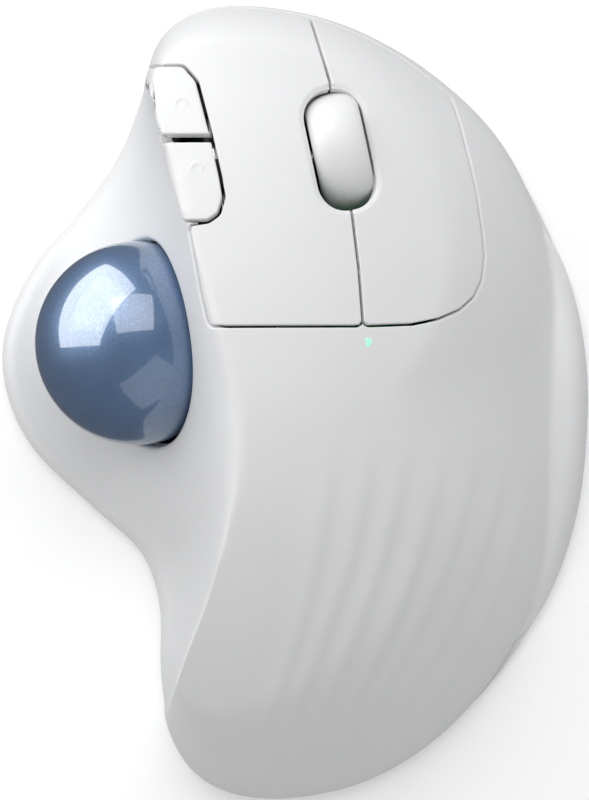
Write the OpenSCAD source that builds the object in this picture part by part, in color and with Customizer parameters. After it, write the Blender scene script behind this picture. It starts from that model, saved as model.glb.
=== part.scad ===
// Thumb-operated trackball mouse, right-handed.
// Origin: centre of the footprint on the table. +Y is the front (button end), +X the
// little-finger side, +Z up. Millimetres.

/* [Overall size] */
// Width, thumb lobe to little-finger side
body_w = 99; // [90:1:119]
// Length, front to back
body_l = 134; // [125:1:161]
// Height of the hump above the table
body_h = 48; // [46:0.5:58]

/* [Walls and gaps] */
// Wall of the top shell
shell_t = 2.2; // [1.6:0.1:2.7]
// Wall of the button plates
key_t = 2; // [1.5:0.1:2.4]
// Gap round the main buttons
key_gap = 0.5; // [0.4:0.05:0.7]
// Gap beside the thumb buttons
side_gap = 0.35; // [0.3:0.05:0.5]
// Floor of the base plate
floor_t = 2; // [1.8:0.1:2.4]
// Thickness of the feet
foot_t = 0.8; // [0.5:0.1:1.2]

/* [Ball] */
// Diameter of the trackball
ball_d = 34; // [28:0.5:36]
// Running gap between the ball and the opening in the shell
ball_gap = 0.35; // [0.25:0.05:0.6]
// Lean of the ball's opening away from vertical, towards the thumb
ball_tilt = 54; // [50:1:60]
// Diameter of the three bearing beads under the ball
bead_d = 2.5; // [2:0.1:3]
// Diameter of the hole in the base for pushing the ball out
release_d = 6; // [4:0.5:7]

/* [Scroll wheel] */
// Diameter of the scroll wheel over its tyre
wheel_d = 20; // [16.5:0.5:22]
// Width of the scroll wheel
wheel_w = 9; // [7.5:0.5:9.5]
// How far the wheel stands out of the buttons
wheel_proud = 2.6; // [1.5:0.1:3.5]
// Diameter of the wheel's axle
axle_d = 2.4; // [2:0.1:3]

/* [Battery] */
// Diameter of the AA cell
cell_d = 14.5; // [13.5:0.1:15]
// Length of the AA cell
cell_l = 50.5; // [48:0.5:52]

/* [Travel] */
// Turn of a main button when it is clicked, in degrees
click_turn = 1; // [0.5:0.1:1.2]
// Radial clearance of every small pivot
pivot_play = 0.05; // [0.03:0.01:0.09]

/* [Hidden] */
$fn = 48;

// Everything placed over the footprint moves with the overall width, length and height.
sx = body_w / 99;
sy = body_l / 134;
sz = body_h / 48;
function at(x, y) = [x * sx, y * sy];

base_z = foot_t;                 // underside of the base plate
floor_z = base_z + floor_t;      // top of its floor
flange_z = base_z + 1.2;         // top of the base plate's outer flange
skirt_z = flange_z + 0.2;        // lower edge of the top shell
key_skirt_z = 13 * sz;           // lower edge of the buttons at the front
nose_z = key_skirt_z - 1.6;      // top edge of the shell's nose band under them

// ---- Footprint ------------------------------------------------------------
// Control points, clockwise from the front: x, y, width of the edge's roll-over,
// width of the finger shelf along the right side.
plan = [
  [-8, 67, 8, 0], [4, 65.2, 9, 0], [14.5, 61, 10, 0], [24.5, 54.5, 13, 0], [34, 45.2, 17, 0],
  [41.4, 33.5, 22, 1], [46.5, 21, 26, 3.5], [49.1, 8, 28, 6], [49.3, -5, 28, 6.5],
  [47.6, -19, 28, 5.5], [43, -33, 27, 3], [35, -46, 26, 1], [24, -57, 25, 0],
  [11, -64.5, 24, 0], [-4, -67, 20, 0], [-15, -64, 14, 0], [-21, -56, 7, 0],
  [-22.8, -45, 3, 0], [-22.8, -35, 2.5, 0], [-26, -25.5, 2.5, 0], [-35, -17, 2.5, 0],
  [-44.5, -7.5, 2.5, 0], [-49, 2.5, 2.5, 0], [-49, 12.5, 2.5, 0], [-44, 23.5, 2.5, 0],
  [-36, 33, 2.5, 0], [-29.5, 42.5, 2.5, 0], [-25.5, 53, 3, 0], [-23, 61, 4.5, 0],
  [-17, 65.8, 6.5, 0]
];
plan_steps = 3;
hub = at(2, 0);                  // every footprint radius starts here

function spline(c, i, t) =
  let (n = len(c), a = c[(i + n - 1) % n], b = c[i], d = c[(i + 1) % n], e = c[(i + 2) % n])
  0.5 * (2 * b + (d - a) * t + (2 * a - 5 * b + 4 * d - e) * t * t
         + (3 * b - a - 3 * d + e) * t * t * t);
function to_size(p) = [p[0] * sx, p[1] * sy, p[2], p[3]];
rim = [for (i = [0:len(plan) - 1], k = [0:plan_steps - 1]) to_size(spline(plan, i, k / plan_steps))];
thumb_edge = [for (p = rim) if (p[0] < -17 * sx && abs(p[1]) < 57 * sy) [p[1], p[0]]];

// ---- Outer surface --------------------------------------------------------
hump_y = 3 * sy;                 // where the hump is highest
ridge_x = -8 * sx;
front_fall = 0.0045 * sz / sy / sy;
back_fall = 0.0066 * sz / sy / sy;
side_fall = 0.0085 * sz / sx / sx;
crown = body_h + 0.35;           // the fold along the crest takes this excess off again
edge_h = 5;                      // height of the thumb lobe's outer edge
hollow = 2.1;                    // how strongly the thumb side is hollowed
fold = 3.6;                      // softness of the crest between thumb side and palm
// The crest between the thumb side and the palm: its x at y = -60, -45 ... 60.
crest_x = [-24, -19.3, -13.8, -10.8, -11.2, -14.2, -17.9, -21.9, -27];

function smin(a, b, k) = let (h = max(k - abs(a - b), 0) / k) min(a, b) - h * h * k / 4;
function smax(a, b, k) = -smin(-a, -b, k);
function roll(f) = f <= 0 ? 0 : f >= 1 ? 1 : sqrt(1 - (1 - f) * (1 - f));
function crest(y) =
  let (f = min(max(y / sy / 15 + 4, 1), 6.999), i = floor(f), t = f - i,
       a = crest_x[i - 1], b = crest_x[i], d = crest_x[i + 1], e = crest_x[min(i + 2, 8)])
  sx * 0.5 * (2 * b + (d - a) * t + (2 * a - 5 * b + 4 * d - e) * t * t
              + (3 * b - a - 3 * d + e) * t * t * t);
function top_z(x, y) =
  crown - (y > hump_y ? front_fall : back_fall) * pow(y - hump_y, 2)
        - side_fall * pow(x - ridge_x, 2);
function flank_z(x, y) =
  let (c = crest(y), w = max(c - lookup(y, thumb_edge), 1), f = max(1 - (c - x) / w, 0))
  edge_h + (top_z(c, y) - edge_h) * pow(f, hollow);
// Height at depth d inside the rim, for a surface t under the outside.
function skin_z(x, y, d, w, shelf, t) =
  let (dome = smin(top_z(x, y) - t, flank_z(x - 1.2 * t, y), fold) * roll((d - t - shelf) / w),
       ledge = 1.4 * shelf * roll((d - t) / 3))
  smax(dome, ledge, 3);

edge_rings = 5;
field_rings = 9;
// One radius of the footprint, from the rim inwards.
function spoke(p, t, low) =
  let (r = norm([p[0], p[1]] - hub), roll_w = p[2] + p[3])
  concat([[0, low]],
         [for (k = [0:edge_rings]) [t + roll_w * (1 - cos(90 * k / edge_rings)), undef]],
         [for (k = [1:field_rings - 1]) [t + roll_w + (r - t - roll_w) * k / field_rings, undef]]);
function spoke_points(p, t, low) =
  let (r = norm([p[0], p[1]] - hub))
  [for (s = spoke(p, t, low))
     let (d = s[1] == undef ? s[0] : t, q = hub + ([p[0], p[1]] - hub) * (1 - d / r))
     [q[0], q[1], s[1] == undef ? max(skin_z(q[0], q[1], d, p[2], p[3], t), low + 0.01) : low]];

// The body as one closed solid, t under the outside, standing on z = low.
module body_solid(t, low) {
  rings = edge_rings + field_rings + 1;
  n = len(rim);
  points = concat([for (p = rim) each spoke_points(p, t, low)],
                  [[hub[0], hub[1], top_z(hub[0], hub[1]) - t], [hub[0], hub[1], low]]);
  function id(i, k) = (i % n) * rings + k;
  faces = concat(
    [for (i = [0:n - 1], k = [0:rings - 2]) each
       [[id(i, k), id(i + 1, k), id(i, k + 1)], [id(i + 1, k), id(i + 1, k + 1), id(i, k + 1)]]],
    [for (i = [0:n - 1]) [id(i, rings - 1), id(i + 1, rings - 1), n * rings]],
    [for (i = [0:n - 1]) [id(i, 0), n * rings + 1, id(i + 1, 0)]]);
  polyhedron(points, faces, convexity = 6);
}
module skin(t, low) {
  difference() {
    body_solid(0, low);
    body_solid(t, low - 3);
  }
}
// Footprint drawn in by d.
module footprint(d) {
  polygon([for (p = rim) let (q = [p[0], p[1]]) hub + (q - hub) * (1 - d / norm(q - hub))]);
}

// ---- Seams between the shell and its buttons -------------------------------
split = [[1.6, 72], [2.4, 65.4], [5.9, 53.4], [9.5, 32.1], [11.4, 12.7]];
right_seam = [[11.4, 12.7], [19.5, 13], [24, 13.9], [27.5, 15.4], [29.9, 17.6], [31.2, 20.4],
              [31.7, 24.5], [31.2, 29.5], [29.3, 40.1], [27.6, 47], [25.4, 54], [24, 72]];
left_seam = [[-34, 72], [-34, 56], [-18.4, 56], [-16.1, 53.4], [-13.8, 44.6], [-12.2, 37.5],
             [-11.6, 34], [-12.4, 31.2], [-14.2, 29.9], [-17.6, 29.4], [-15.4, 17.5],
             [-14.2, 12.6]];
side_edge = [[-29, 56], [-18.4, 56], [-16.1, 53.4], [-13.8, 44.6], [-12.2, 37.5],
             [-11.6, 34], [-12.4, 31.2], [-14.2, 29.9], [-18.6, 29.8], [-22.3, 43.4]];
function placed(c) = [for (p = c) at(p[0], p[1])];
module left_zone() { polygon(placed(concat(left_seam, [for (i = [4:-1:0]) split[i]]))); }
module right_zone() { polygon(placed(concat(split, right_seam))); }
module side_zone() { polygon(placed(side_edge)); }
module column(low) { translate([0, 0, low]) linear_extrude(80 * sz) children(); }

// ---- Mechanism places ------------------------------------------------------
ball_r = ball_d / 2;
cup_gap = 0.8;
cup_t = 1.8;
cup_cut = 6.4;                   // the cup's rim, below the ball's equator
cup_r = ball_r + cup_gap + cup_t;
ball_at = [-26.4 * sx, 10 * sy, floor_z + 0.3 + cup_r];
wheel_xy = at(7.6, 41.6);
wheel_z = top_z(wheel_xy[0], wheel_xy[1]) + wheel_proud - wheel_d / 2;
wheel_lean = 12;
cheek_in = wheel_w / 2 + 0.5;
cheek_t = 1.2;
tilt_y = -17;                    // carrier pivot, behind the axle
tilt_z = -7;                     // carrier pivot, below the axle
board_z = floor_z + 3.2;
board_t = 1.2;
deck = board_z + board_t;        // top face of the main board

pin_r = 1;
arm_w = 4.6;
arm_t = 2.4;
pivot_y = 7 * sy;
reach_y = 46 * sy;
left_x = -6 * sx;
right_x = 22 * sx;
lug_off = arm_w / 2 + 1.25;      // from an arm's middle to the middle of its lugs
beam_y = pivot_y - 5.4;          // front face of the frame's beam
riser_x = right_x - lug_off - 4; // step between the two halves of the beam
left_lug_x = left_x - lug_off - 1;
left_roof_z = smin(top_z(left_lug_x, beam_y) - shell_t,
                   flank_z(left_lug_x - 1.2 * shell_t, beam_y), fold);
left_pivot_z = min(top_z(-9 * sx, pivot_y) - shell_t - 6, left_roof_z - 3.7);
beam_z = min(left_pivot_z - 1.1, 0.955 * (top_z(riser_x + 3, beam_y) - shell_t));
right_pivot_z = 0.88 * top_z(right_x + arm_w / 2 + 3, pivot_y) - shell_t - 3.2;
left_front_z = top_z(left_x, reach_y) - key_t - 4;
right_front_z = 0.65 * top_z(right_x + arm_w / 2, reach_y);
press_y = 45 * sy;               // the two switches under the main buttons

rod_a = [-11 * sx, 30 * sy, 38 * sz];      // rod under the thumb buttons: back end
rod_b = [-15.4 * sx, 56 * sy, 26.2 * sz];  // and front end
rod_v = rod_b - rod_a;
rod_l = norm(rod_v);
rod_lean = atan2(-rod_v[0], rod_v[1]);
rod_pitch = atan2(rod_v[2], norm([rod_v[0], rod_v[1]]));
rod_r = 0.8;
press_x = -3.7;                  // plungers of the thumb buttons, beside the rod
side_press = [[0.27, "back"], [0.75, "forward"]];

bay_c = at(8, -22.3);
recv_t = 6.1;
bay_hw = (cell_d + recv_t + 1.8) / 2;
bay_hl = (cell_l + 5.5) / 2;
bay_t = 1.2;
bay_top = 10;
door_t = flange_z - base_z - 0.1;
cell_at = [bay_c[0] + bay_hw - 0.6 - cell_d / 2, bay_c[1], base_z + door_t + 0.3 + cell_d / 2];

power_at = at(33, -7);
connect_at = at(33, 9);
panel_z = floor_z + 5.9;         // underside of the power board
panel_reach = 8 * sy + 8.4;
panel_y = (power_at[1] + connect_at[1]) / 2;
panel_pts = [for (s = [-1, 1]) [power_at[0], panel_y + s * panel_reach]];

// Screw places over the footprint, and the radius of the pilot hole each screw cuts into.
case_pts = [at(34, 30), at(-23, 38), at(-15, -38), at(31, -30)];
board_pts = [at(26, 27), at(-6.5, 54), at(15, 50.2), at(13.5, 17)];
cup_angles = [75, 10, -85];
cup_pts = [for (a = cup_angles)
  [ball_at[0] + (cup_r + 1.6) * cos(a), ball_at[1] + (cup_r + 1.6) * sin(a)]];
screw_r = 0.92;
pilot_r = screw_r + 0.05;
tab_z = floor_z + 2;
leg_w = 3.2;
leg_left = bay_c[0] - bay_hw - bay_t - 0.2 - leg_w;
leg_right = bay_c[0] + bay_hw + bay_t + 0.4;
leg_bolts = [leg_left + leg_w / 2, leg_right + leg_w / 2];

module bolt(len, r, head_r, head_t) {
  translate([0, 0, -len]) cylinder(r = r, h = len + head_t);
  difference() {
    cylinder(r = head_r, h = head_t);
    translate([0, 0, head_t - 0.5]) cylinder(r = head_r * 0.4, h = 1, $fn = 6);
  }
}
module to_ball(polar, turn) { translate(ball_at) rotate([0, polar, turn]) children(); }
module to_opening() { translate(ball_at) rotate([0, -ball_tilt, 0]) children(); }
module to_wheel() {
  translate([wheel_xy[0], wheel_xy[1], wheel_z]) rotate([0, 0, wheel_lean]) children();
}
module to_rod() { translate(rod_a) rotate([rod_pitch, 0, rod_lean]) children(); }
module arm_frame(x, pz, fz) {
  translate([x, pivot_y, pz]) rotate([-atan2(pz - fz, reach_y - pivot_y), 0, 0]) children();
}
module left_frame() { arm_frame(left_x, left_pivot_z, left_front_z) children(); }
module right_frame() { arm_frame(right_x, right_pivot_z, right_front_z) children(); }
module slot_shape() {
  half_w = wheel_w / 2 + 0.6;
  half_l = wheel_d / 2 + 0.9;
  translate(wheel_xy) rotate(wheel_lean) hull()
    for (s = [-1, 1]) translate([0, s * (half_l - half_w)]) circle(r = half_w, $fn = 48);
}

// ---- Housing ---------------------------------------------------------------
module standoffs(places, r, top) {
  for (p = places) translate([p[0], p[1], floor_z - 0.1]) cylinder(r = r, h = top - floor_z + 0.1);
}
module pilots(places, low) {
  for (p = places) translate([p[0], p[1], low]) cylinder(r = pilot_r, h = 10);
}
module base_plate() {
  color("gainsboro") difference() {
    union() {
      translate([0, 0, base_z]) linear_extrude(flange_z - base_z) footprint(0.7);
      translate([0, 0, base_z + 0.6]) linear_extrude(floor_t - 0.6) footprint(shell_t + 1.9);
      translate([bay_c[0] - bay_hw - bay_t, bay_c[1] - bay_hl - bay_t, floor_z - 0.1])
        cube([2 * (bay_hw + bay_t), 2 * (bay_hl + bay_t), bay_top - floor_z + 0.1]);
      standoffs(board_pts, 2.4, board_z);
      standoffs(cup_pts, 2.6, tab_z);
      standoffs(panel_pts, 2.2, panel_z);
      for (s = [-1, 1]) translate([power_at[0] + s * 3.1 - 0.5, power_at[1] - 5.4, floor_z - 0.1])
        cube([1, 10.8, 1.3]);
    }
    // Battery bay, the door's slot and its two side grooves.
    translate([bay_c[0] - bay_hw, bay_c[1] - bay_hl, base_z - 1]) cube([2 * bay_hw, 2 * bay_hl, 40]);
    translate([bay_c[0] - bay_hw - 0.5, -100 * sy, base_z - 1])
      cube([2 * bay_hw + 1, 100 * sy + bay_c[1] + bay_hl + 1.2, 2]);
    translate([bay_c[0] - bay_hw - 1.4, -100 * sy, base_z + 0.4])
      cube([2 * bay_hw + 2.8, 100 * sy + bay_c[1] + bay_hl + 1.2, flange_z - base_z - 0.4]);
    translate([ball_at[0], ball_at[1], 0]) cylinder(d = release_d, h = 10);
    for (p = case_pts) translate([p[0], p[1], base_z - 1]) {
      cylinder(r = 1.2, h = 10);
      cylinder(r = 2.3, h = 2.1);
    }
    pilots(board_pts, floor_z + 0.4);
    pilots(concat(cup_pts, panel_pts), floor_z - 0.6);
    for (x = leg_bolts) translate([x, pivot_y + 1.2, floor_z - 1.4]) cylinder(r = pilot_r, h = 4);
    translate([power_at[0] - 2, power_at[1] - 4.4, base_z - 1]) cube([4, 8.8, 5]);
    translate([connect_at[0], connect_at[1], base_z - 1]) cylinder(r = 2.5, h = 5);
  }
}
module top_shell() {
  color("whitesmoke") difference() {
    union() {
      skin(shell_t, skirt_z);
      intersection() {
        body_solid(0.5, skirt_z);
        union() {
          to_opening() translate([0, 0, 0.5 - cup_cut])
            cylinder(r = ball_r + ball_gap + 1.5, h = 19, $fn = 72);
          for (p = case_pts)
            hull() {
              translate([p[0], p[1], floor_z + 0.1]) cylinder(r = 2.8, h = 1, $fn = 24);
              translate([p[0], p[1], 44 * sz]) cylinder(r = 3.4, h = 2, $fn = 24);
            }
          for (p = case_pts, s = [-1, 1])
            hull() {
              translate([p[0], p[1], floor_z + 3]) cylinder(r = 0.6, h = 40 * sz, $fn = 8);
              translate([p[0] + s * 3.2, p[1], floor_z + 6]) cylinder(r = 0.6, h = 40 * sz, $fn = 8);
            }
        }
      }
    }
    to_opening() translate([0, 0, -cup_cut]) cylinder(r = ball_r + ball_gap, h = 40, $fn = 72);
    // Room for the cup behind the collar.
    to_opening() intersection() {
      sphere(r = cup_r + 0.2, $fn = 72);
      translate([0, 0, 0.2 - cup_cut - cup_r]) cylinder(r = cup_r + 1, h = cup_r);
    }
    column(nose_z) offset(delta = key_gap / 2) {
      left_zone();
      right_zone();
    }
    column(25 * sz) offset(delta = 0.01) side_zone();
    for (p = case_pts) translate([p[0], p[1], skirt_z - 1]) cylinder(r = 1.1, h = 9, $fn = 24);
    translate([at(12, 10)[0], at(12, 10)[1], 20]) cylinder(r = 0.8, h = 60 * sz, $fn = 24);
  }
}
module key_ribs(x_half) {
  for (i = [0:7])
    hull() {
      for (s = [-1, 1]) translate([s * x_half, 9 + i * 4.2 * sy, arm_t / 2])
        cylinder(r = 0.6, h = 30 * sz, $fn = 12);
    }
}
// Room under the buttons for the cheeks that hold the wheel.
module cheek_room() {
  for (s = [-1, 1]) to_wheel() translate([s * (cheek_in + cheek_t / 2) - cheek_t / 2 - 0.3, -2.5, -6])
    cube([cheek_t + 0.6, 5, 6 + 2.1 + 0.8]);
}
module left_button() {
  color("white") difference() {
    union() {
      intersection() {
        skin(key_t, key_skirt_z);
        column(0) offset(delta = -key_gap / 2) left_zone();
      }
      intersection() {
        body_solid(key_t - 0.6, key_skirt_z);
        left_frame() key_ribs(arm_w / 2 - 0.8);
      }
    }
    column(0) slot_shape();
    cheek_room();
  }
}
module right_button() {
  color("white") difference() {
    union() {
      intersection() {
        skin(key_t, key_skirt_z);
        column(0) offset(delta = -key_gap / 2) right_zone();
      }
      intersection() {
        body_solid(key_t - 0.6, key_skirt_z);
        right_frame() key_ribs(arm_w / 2 - 0.8);
      }
    }
    column(0) slot_shape();
    cheek_room();
  }
}
// Half of the thumb-button opening, kept clear of its edge by the gap.
module side_half(lo, hi) {
  intersection() {
    offset(delta = -side_gap) side_zone();
    translate([-60 * sx, lo * sy]) square([60 * sx, (hi - lo) * sy]);
  }
}
module side_button(lo, hi, low, f) {
  intersection() {
    difference() {
      body_solid(-0.6, low);
      body_solid(1.4, low - 5);
    }
    column(low) side_half(lo, hi);
  }
  intersection() {
    body_solid(0.8, low - 8);
    to_rod() for (i = [0:7])
      hull() {
        translate([-4.6, f * rod_l - 2.2 + i * 0.6, 2.8]) cylinder(r = 0.4, h = 12 * sz, $fn = 8);
        translate([-2.2, f * rod_l - 2.2 + i * 0.6, 2.8]) cylinder(r = 0.4, h = 12 * sz, $fn = 8);
      }
  }
}
module forward_button() { color("white") side_button(44.4, 56, 26 * sz, side_press[1][0]); }
module back_button() { color("white") side_button(29, 43, 26 * sz, side_press[0][0]); }

// ---- Button levers ---------------------------------------------------------
module button_lever(fall) {
  reach = norm([reach_y - pivot_y, fall]);
  difference() {
    union() {
      rotate([0, 90, 0]) translate([0, 0, -arm_w / 2]) cylinder(r = 2.2, h = arm_w);
      translate([-arm_w / 2, 0, -arm_t / 2]) cube([arm_w, reach + 0.6, arm_t]);
    }
    rotate([0, 90, 0]) translate([0, 0, -10]) cylinder(r = pin_r + pivot_play, h = 20);
  }
}
switch_h = 7.3;
module button_arm(x, pz, fz) {
  color("lightgray") {
    arm_frame(x, pz, fz) button_lever(pz - fz);
    slope = (pz - fz) / (reach_y - pivot_y);
    low = deck + switch_h + (press_y - pivot_y + 1.3) * sin(click_turn) + 0.1;
    translate([x, press_y, low])
      cylinder(r = 1.3, h = fz + (reach_y - press_y) * slope - arm_t / 2 - low + 0.4);
  }
}
module left_arm() { button_arm(left_x, left_pivot_z, left_front_z); }
module right_arm() { button_arm(right_x, right_pivot_z, right_front_z); }
module side_hinge(f) {
  color("dimgray") to_rod() translate([0, f * rod_l, 0]) difference() {
    union() {
      translate([0, -2.6, 0]) rotate([-90, 0, 0]) cylinder(r = 1.8, h = 5.2);
      translate([-4.9, -2.6, 1.4]) cube([5.3, 5.2, 1.4]);
      translate([press_x, 0, -4.25]) cylinder(r = 1, h = 6);
    }
    translate([0, -5, 0]) rotate([-90, 0, 0]) cylinder(r = rod_r + pivot_play, h = 10);
  }
}
module forward_hinge() { side_hinge(side_press[1][0]); }
module back_hinge() { side_hinge(side_press[0][0]); }

// ---- Frames that carry the buttons -----------------------------------------
module lug(x, pz) {
  translate([x - 1, 0, 0]) difference() {
    union() {
      translate([0, pivot_y, pz]) rotate([0, 90, 0]) cylinder(r = 2.4, h = 2);
      translate([0, beam_y, pz - 2.4]) cube([2, 5.4, 4.8]);
    }
    translate([-1, pivot_y, pz]) rotate([0, 90, 0]) cylinder(r = pin_r + 0.03, h = 4);
  }
}
module key_frame() {
  color("darkgray") {
    difference() {
      translate([0, beam_y - 2.4, 0]) {
        translate([left_lug_x, 0, beam_z - 4]) cube([riser_x + 3 - left_lug_x, 2.6, 4]);
        translate([riser_x, 0, right_pivot_z - 3]) cube([3, 2.6, beam_z - right_pivot_z + 1]);
        translate([riser_x, 0, right_pivot_z - 3]) cube([2 * lug_off + 5, 2.6, 4.2]);
        for (x = [leg_left, leg_right]) {
          translate([x, 0, floor_z]) cube([leg_w, 2.6, right_pivot_z - floor_z]);
          translate([x, 0, floor_z]) cube([leg_w, 11, 2]);
        }
        translate([leg_left, 0, right_pivot_z - 1]) cube([leg_w, 2.6, beam_z - right_pivot_z]);
      }
      for (x = leg_bolts) translate([x, pivot_y + 1.2, floor_z - 1]) cylinder(r = pilot_r, h = 9);
    }
    for (s = [-1, 1]) {
      lug(left_x + s * lug_off, left_pivot_z);
      lug(right_x + s * lug_off, right_pivot_z);
    }
  }
}
module key_pins() {
  color("silver") for (p = [[left_x, left_pivot_z], [right_x, right_pivot_z]])
    translate([p[0] - lug_off - 0.9, pivot_y, p[1]]) rotate([0, 90, 0])
      cylinder(r = pin_r, h = 2 * lug_off + 1.8);
}
eye_l = 1.8;
eyes = [-1.5, rod_l * 0.51, rod_l + 0.5];
module side_frame() {
  color("darkgray") difference() {
    union() {
      to_rod() {
        for (y = eyes) translate([0, y - eye_l / 2, 0]) {
          rotate([-90, 0, 0]) cylinder(r = 1.9, h = eye_l);
          translate([-1.2, 0, -9]) cube([2.4, eye_l, 9]);
        }
        translate([-1.2, eyes[0] - eye_l / 2, -11.6]) cube([2.4, eyes[2] - eyes[0] + eye_l, 2.6]);
      }
      translate([rod_a[0] - 1.5, rod_a[1] - 5.8, floor_z]) cube([2.4, 3, rod_a[2] - floor_z - 8.8]);
      translate([rod_b[0] - 0.4, rod_b[1] - 6, floor_z]) cube([2.4, 3, rod_b[2] - floor_z - 8.8]);
    }
    to_rod() translate([0, -5, 0]) rotate([-90, 0, 0]) cylinder(r = rod_r + 0.03, h = rod_l + 10);
  }
}
module side_pin() {
  color("silver") to_rod() translate([0, eyes[0] - eye_l / 2, 0]) rotate([-90, 0, 0])
    cylinder(r = rod_r, h = eyes[2] - eyes[0] + eye_l);
}
module side_switch_board() {
  color("darkgreen") to_rod() translate([-5.7, 2, -9]) cube([4.4, rod_l - 3.5, 1]);
}
module side_switches() {
  for (s = side_press) to_rod() translate([press_x, s[0] * rod_l, -8]) {
    color("dimgray") translate([-1.9, -2.1, 0]) cube([3.8, 4.2, 2.4]);
    color("black") cylinder(r = 1.1, h = 3.45);
  }
}

// ---- Scroll wheel ----------------------------------------------------------
tyre_t = 2.8;                    // thickness of the crowned tyre at its middle
hub_r = wheel_d / 2 - tyre_t;
module wheel_tyre() {
  crowned = [for (a = [-90:10:90]) [hub_r + tyre_t * pow(cos(a), 0.8), wheel_w / 2 * sin(a)]];
  color("white") to_wheel() rotate([0, 90, 0]) rotate_extrude($fn = 96) polygon(crowned);
}
module wheel_hub() {
  color("dimgray") to_wheel() rotate([0, 90, 0]) difference() {
    translate([0, 0, -wheel_w / 2 + 0.2]) cylinder(r = hub_r, h = wheel_w - 0.4);
    for (s = [-1, 1]) translate([0, 0, s > 0 ? 1 : -wheel_w]) difference() {
      cylinder(r = hub_r - 1, h = wheel_w - 1);
      translate([0, 0, -1]) cylinder(r = 2.6, h = wheel_w + 2);
    }
    for (i = [0:5]) rotate(60 * i) translate([4.4, 0, -wheel_w]) cylinder(r = 1.2, h = 2 * wheel_w);
    translate([0, 0, -wheel_w]) cylinder(d = axle_d + 0.02, h = 2 * wheel_w);
  }
}
axle_end = cheek_in + cheek_t + 0.3;
module wheel_axle() {
  color("silver") to_wheel() rotate([0, 90, 0]) translate([0, 0, -axle_end - 2.2])
    cylinder(d = axle_d, h = 2 * axle_end + 2.2);
}
module wheel_encoder() {
  color("darkslategray") to_wheel() translate([-cheek_in - cheek_t - 2.9, 0, 0]) difference() {
    translate([0, -4.2, -4.2]) cube([2.8, 8.4, 8.4]);
    translate([-1, 0, 0]) rotate([0, 90, 0]) cylinder(r = axle_d / 2 + 0.06, h = 9);
  }
}
carrier_low = -wheel_d / 2 - 2.6;
module wheel_carrier() {
  color("gray") to_wheel() difference() {
    union() {
      for (s = [-1, 1]) translate([s > 0 ? cheek_in : -cheek_in - cheek_t, 0, 0]) {
        rotate([0, 90, 0]) cylinder(r = 2.1, h = cheek_t);
        translate([0, -2.1, carrier_low]) cube([cheek_t, 4.2, -carrier_low]);
        translate([0, tilt_y - 2.2, carrier_low]) cube([cheek_t, 9 - tilt_y, tilt_z - carrier_low + 2.2]);
      }
      translate([-cheek_in, tilt_y - 2.2, carrier_low]) cube([2 * cheek_in, 26, 1.5]);
      translate([0, 4.5, deck - wheel_z + 5.5]) cylinder(r = 1.5, h = wheel_z + carrier_low - deck - 5);
      for (s = [-1, 1]) translate([s > 0 ? cheek_in : -cheek_in - cheek_t - 1.8, tilt_y, tilt_z])
        rotate([0, 90, 0]) cylinder(r = 1.1, h = cheek_t + 1.8);
    }
    translate([-20, 0, 0]) rotate([0, 90, 0]) cylinder(r = axle_d / 2 + pivot_play, h = 40);
  }
}
stand_in = cheek_in + cheek_t + 0.3;
module wheel_stand() {
  color("darkgray") to_wheel() difference() {
    union() {
      for (s = [-1, 1]) translate([s > 0 ? stand_in : -stand_in - 1.5, tilt_y, 0]) {
        translate([0, -2.2, deck - wheel_z]) cube([1.5, 4.4, wheel_z - deck + tilt_z]);
        translate([0, 0, tilt_z]) rotate([0, 90, 0]) cylinder(r = 2.2, h = 1.5);
      }
      translate([-stand_in, tilt_y - 2.2, deck - wheel_z]) cube([2 * stand_in, 4.4, 1.5]);
    }
    translate([-20, tilt_y, tilt_z]) rotate([0, 90, 0]) cylinder(r = 1.1 + pivot_play, h = 40);
  }
}

// ---- Ball ------------------------------------------------------------------
module trackball() { color("steelblue") translate(ball_at) sphere(r = ball_r, $fn = 96); }
bead_dirs = [[125, 60], [125, -60], [125, 180]];
bead_far = ball_r + 0.05 + bead_d / 2;
sensor_polar = 118.7;
sensor_turn = -50;
seat = cup_r + 0.6;              // flat seat of the sensor's lens on the cup
module bead_places() {
  for (b = bead_dirs)
    to_opening() rotate([0, 0, 180 + b[1]]) rotate([0, b[0], 0]) translate([0, 0, bead_far]) children();
}
module ball_cup() {
  color("dimgray") difference() {
    union() {
      to_opening() rotate_extrude($fn = 96) intersection() {
        circle(r = cup_r, $fn = 96);
        translate([0, -cup_r - 1]) square([cup_r + 1, cup_r + 1 - cup_cut]);
      }
      for (a = cup_angles) translate([ball_at[0], ball_at[1], tab_z]) rotate(a) {
        translate([6, -2.6, 0]) cube([cup_r - 4.4, 5.2, 2]);
        translate([cup_r + 1.6, 0, 0]) cylinder(r = 2.6, h = 2);
      }
      to_ball(sensor_polar, sensor_turn) translate([0, 0, cup_r - 3]) {
        cylinder(r = 5, h = 3.6);
        for (s = [-1, 1]) translate([0, s * 4.6, 0]) cylinder(r = 1.5, h = 6.4);
      }
    }
    translate(ball_at) sphere(r = ball_r + cup_gap, $fn = 96);
    translate([ball_at[0], ball_at[1], 0]) cylinder(d = release_d + 0.6, h = ball_at[2]);
    bead_places() translate([0, 0, -2]) cylinder(d = bead_d + 0.06, h = 5);
    for (p = cup_pts) translate([p[0], p[1], 0]) cylinder(r = pilot_r, h = 20);
    to_ball(sensor_polar, sensor_turn) {
      cylinder(r = 2.6, h = cup_r + 9);
      for (s = [-1, 1]) translate([0, s * 4.6, cup_r]) cylinder(r = 0.77, h = 9);
    }
  }
}
module ball_beads() { color("mistyrose") bead_places() sphere(d = bead_d); }
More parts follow.
